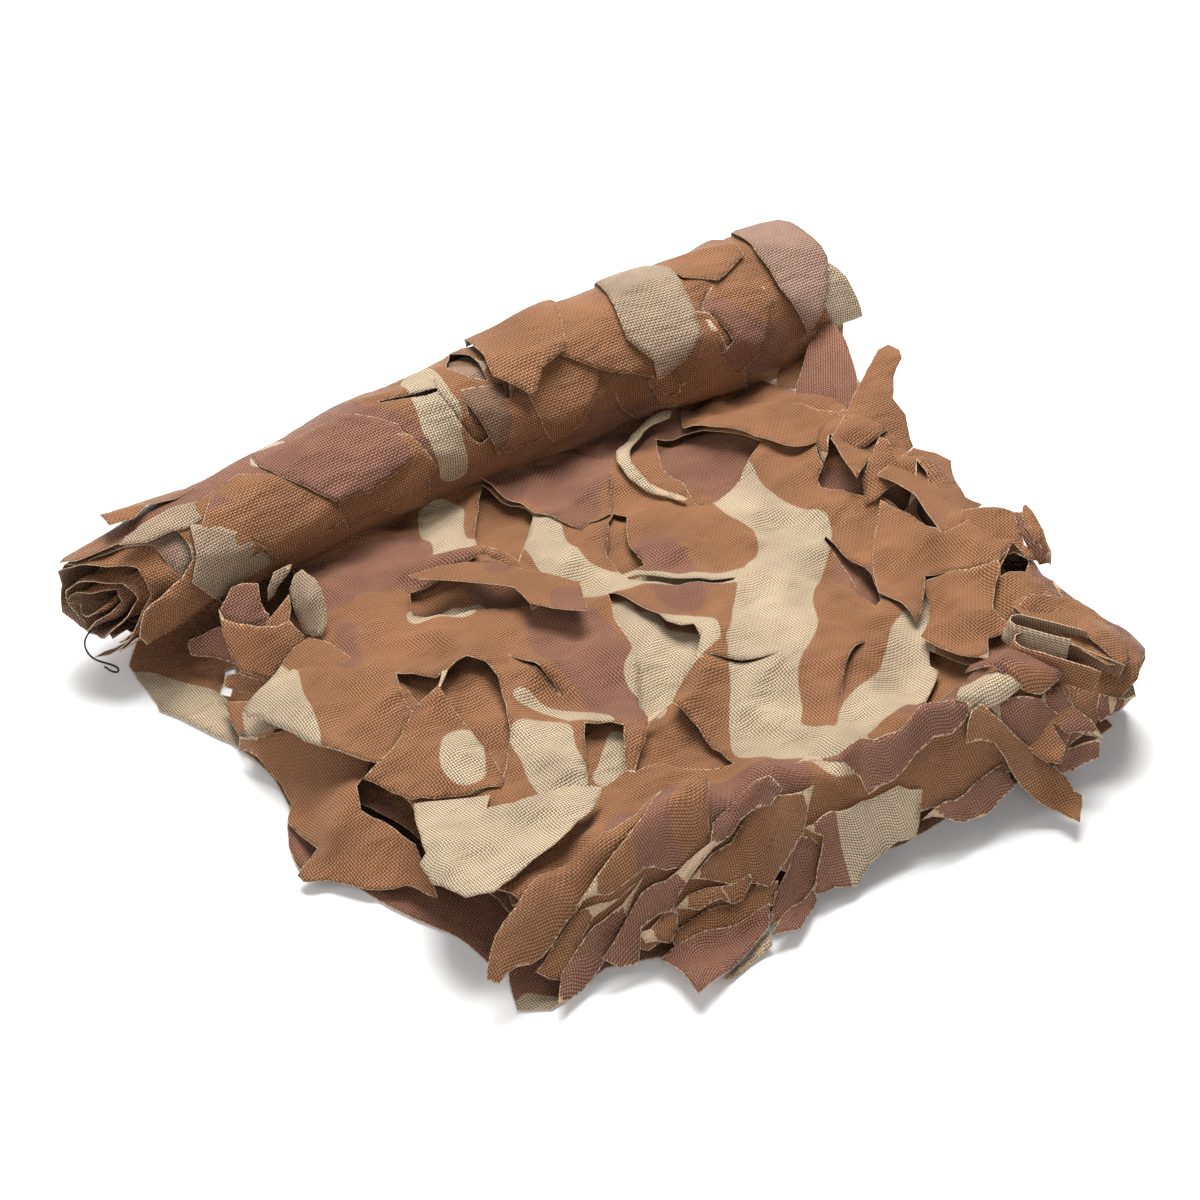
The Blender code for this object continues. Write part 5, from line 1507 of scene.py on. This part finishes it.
def near_edge():
    """Left edge of the near end's plies: the upper front of each turn is cut back."""
    rng = np.random.default_rng(12)
    points = []
    for index in range(int(NEAR_TURNS * NEAR_CORNERS)):
        wound = index / NEAR_CORNERS
        angle = WRAP_STEP_ANGLE + 360.0 * wound
        away = ((angle - NEAR_LIP_ANGLE + 180.0) % 360.0 - 180.0) / NEAR_LIP_SPREAD
        back = NEAR_LIP_DEPTH * math.exp(-away * away) * (1.0 - NEAR_LIP_FADE * wound)
        share = spiral_length(wound, NEAR_SHRINK)
        points.append((NEAR_X + back + rng.uniform(-NEAR_JAG, NEAR_JAG), share))
    return points


def make_ends():
    """Wound plies that show at both ends of the roll."""
    start = math.radians(WRAP_STEP_ANGLE) * ROLL_RADIUS
    near_length = spiral_length(NEAR_TURNS, NEAR_SHRINK)
    left = [(x, start + along) for x, along in near_edge()]
    corners = [(NEAR_INNER_X, start + near_length), *left[::-1], (NEAR_INNER_X, start)]
    near_end = make_sheet("near_end_turns", ragged(corners, 7.0),
                          roll_place(shrink=NEAR_SHRINK, lift=-0.0020, rough=0.0038, seed=3.0,
                                     flatten=0.60),
                          PATCH_MESH, 10, prints=stroked_print(NEAR_TAN, NEAR_MAUVE),
                          crease=PANEL_CREASE)
    declare(near_end)
    far_length = spiral_length(FAR_TURNS, FAR_SHRINK)
    corners = [(FAR_INNER_X, start), (0.197, start), (0.193, start + 0.3 * far_length),
               (0.196, start + 0.6 * far_length), (0.190, start + far_length),
               (FAR_INNER_X, start + far_length)]
    far_end = make_sheet("far_end_turns", ragged(corners, 8.0),
                         roll_place(shrink=FAR_SHRINK, lift=-0.0030, rough=0.0020, seed=5.0,
                                    flatten=0.2),
                         LOWER_MESH, 11, crease=ROLL_CREASE)
    declare(far_end)


def stand_off(patch):
    """How far a small leaf stands off: more from its root to its tip, with a bulging middle."""
    angle = math.radians(patch.heading)
    heading = np.array([math.cos(angle), math.sin(angle)])
    sideways = np.array([-math.sin(angle), math.cos(angle)])
    corners = np.array(patch.outline) - np.array(patch.root)
    reach = (corners @ heading).max()
    low, high = (corners @ sideways).min(), (corners @ sideways).max()

    def stand(a, b):
        offset = np.stack([a, b], axis=1) - np.array(patch.root)
        share = np.clip((offset @ heading) / reach, 0.0, 1.0)
        across = np.clip((2.0 * (offset @ sideways) - low - high) / (high - low), -1.0, 1.0)
        return patch.base + patch.rise * share ** 1.4 + patch.bulge * (1.0 - across ** 2)

    return stand


def lay_leaves(table, convert, place, seed, under, **creases):
    """The free leaves of a table, each on its own seed."""
    for index, patch in enumerate(table, seed):
        patch = patch._replace(outline=convert(patch.outline), root=convert([patch.root])[0])
        piece = make_sheet(patch.name, ragged(patch.outline, float(index)), place, PATCH_MESH,
                           index, prints=leaf_print(patch.colour), stand=stand_off(patch),
                           back="back" in patch.colour, **creases)
        declare(piece)


def make_patches():
    """The free leaves that lie on the heap and on the roll."""
    lay_leaves(HEAP_PATCHES, metres, ply_place(PLIES - 1, TOP_FOLDS), 20, "top_ply",
               crease=HEAP_CREASE, crease_seed=HEAP_CREASE_SEED)
    lay_leaves(ROLL_PATCHES, arcs, roll_place(), 50, "roll_outer_turn", crease=SMOOTH_CREASE)


def surface_place(points):
    """Function that lays a sheet on the smooth surface through some points."""
    known = np.array(points)
    low, high = known[:, 2].min() - PANEL_SLACK, known[:, 2].max() + PANEL_SLACK
    gap = np.linalg.norm(known[:, None, :2] - known[None, :, :2], axis=2)
    flat = np.hstack([np.ones((len(known), 1)), known[:, :2]])
    system = np.block([[gap ** 2 * np.log(gap + 1e-9), flat], [flat.T, np.zeros((3, 3))]])
    weights = np.linalg.lstsq(system, np.concatenate([known[:, 2], np.zeros(3)]), rcond=1e-9)[0]

    def place(a, b, h):
        gap = np.hypot(a[:, None] - known[None, :, 0], b[:, None] - known[None, :, 1])
        z = (gap ** 2 * np.log(gap + 1e-9)) @ weights[:-3]
        z = z + weights[-3] + weights[-2] * a + weights[-1] * b
        return np.stack([a, b, np.clip(z, low, high) + h], axis=1)

    return place


def make_panels():
    """The leaves with their own heights."""
    for index, panel in enumerate(PANELS, 110):
        outline = metres(panel.outline)
        piece = make_sheet(panel.name, ragged([point[:2] for point in outline], float(index)),
                           surface_place(outline + metres(panel.inner)), PANEL_MESH, index,
                           prints=leaf_print(panel.colour), crease=PANEL_CREASE,
                           back="back" in panel.colour)
        declare(piece)


def ribbon_place(flap, length):
    """Function that lays a ribbon along its own bent middle line."""
    steps = np.linspace(0.0, 1.0, RIBBON_STEPS + 1)

    def angles(values):
        return np.radians(np.interp(steps, np.linspace(0.0, 1.0, len(values)), values))

    heading, slope, roll = angles(flap.headings), angles(flap.slopes), angles(flap.rolls)
    tangent = np.stack([np.cos(slope) * np.cos(heading), np.cos(slope) * np.sin(heading),
                        np.sin(slope)], axis=1)
    level = np.stack([-np.sin(heading), np.cos(heading), np.zeros_like(heading)], axis=1)
    above = np.cross(tangent, level)
    side = level * np.cos(roll)[:, None] + above * np.sin(roll)[:, None]
    normal = above * np.cos(roll)[:, None] - level * np.sin(roll)[:, None]
    line = np.array(flap.root) + np.concatenate(
        [np.zeros((1, 3)), np.cumsum(tangent[1:], axis=0)]) * length / RIBBON_STEPS

    def place(a, b, h):
        share = a / length

        def at(table):
            return np.stack([np.interp(share, steps, table[:, i]) for i in range(3)], axis=1)

        rise = h + flap.cup * b * b
        return at(line) + at(side) * b[:, None] + at(normal) * rise[:, None]

    return place


def make_flaps():
    """The leaves that stand up by themselves."""
    for index, flap in enumerate(FLAPS, 80):
        length = max(along for along, _ in flap.outline)
        piece = make_sheet(flap.name, ragged(flap.outline, float(index)),
                           ribbon_place(flap, length), PATCH_MESH, index,
                           prints=leaf_print(flap.colour), crease=ROLL_CREASE)
        declare(piece)


make_camera()
make_thread()
make_heap()
make_roll()
make_ends()
make_patches()
make_panels()
make_flaps()
make_floor()
make_light()
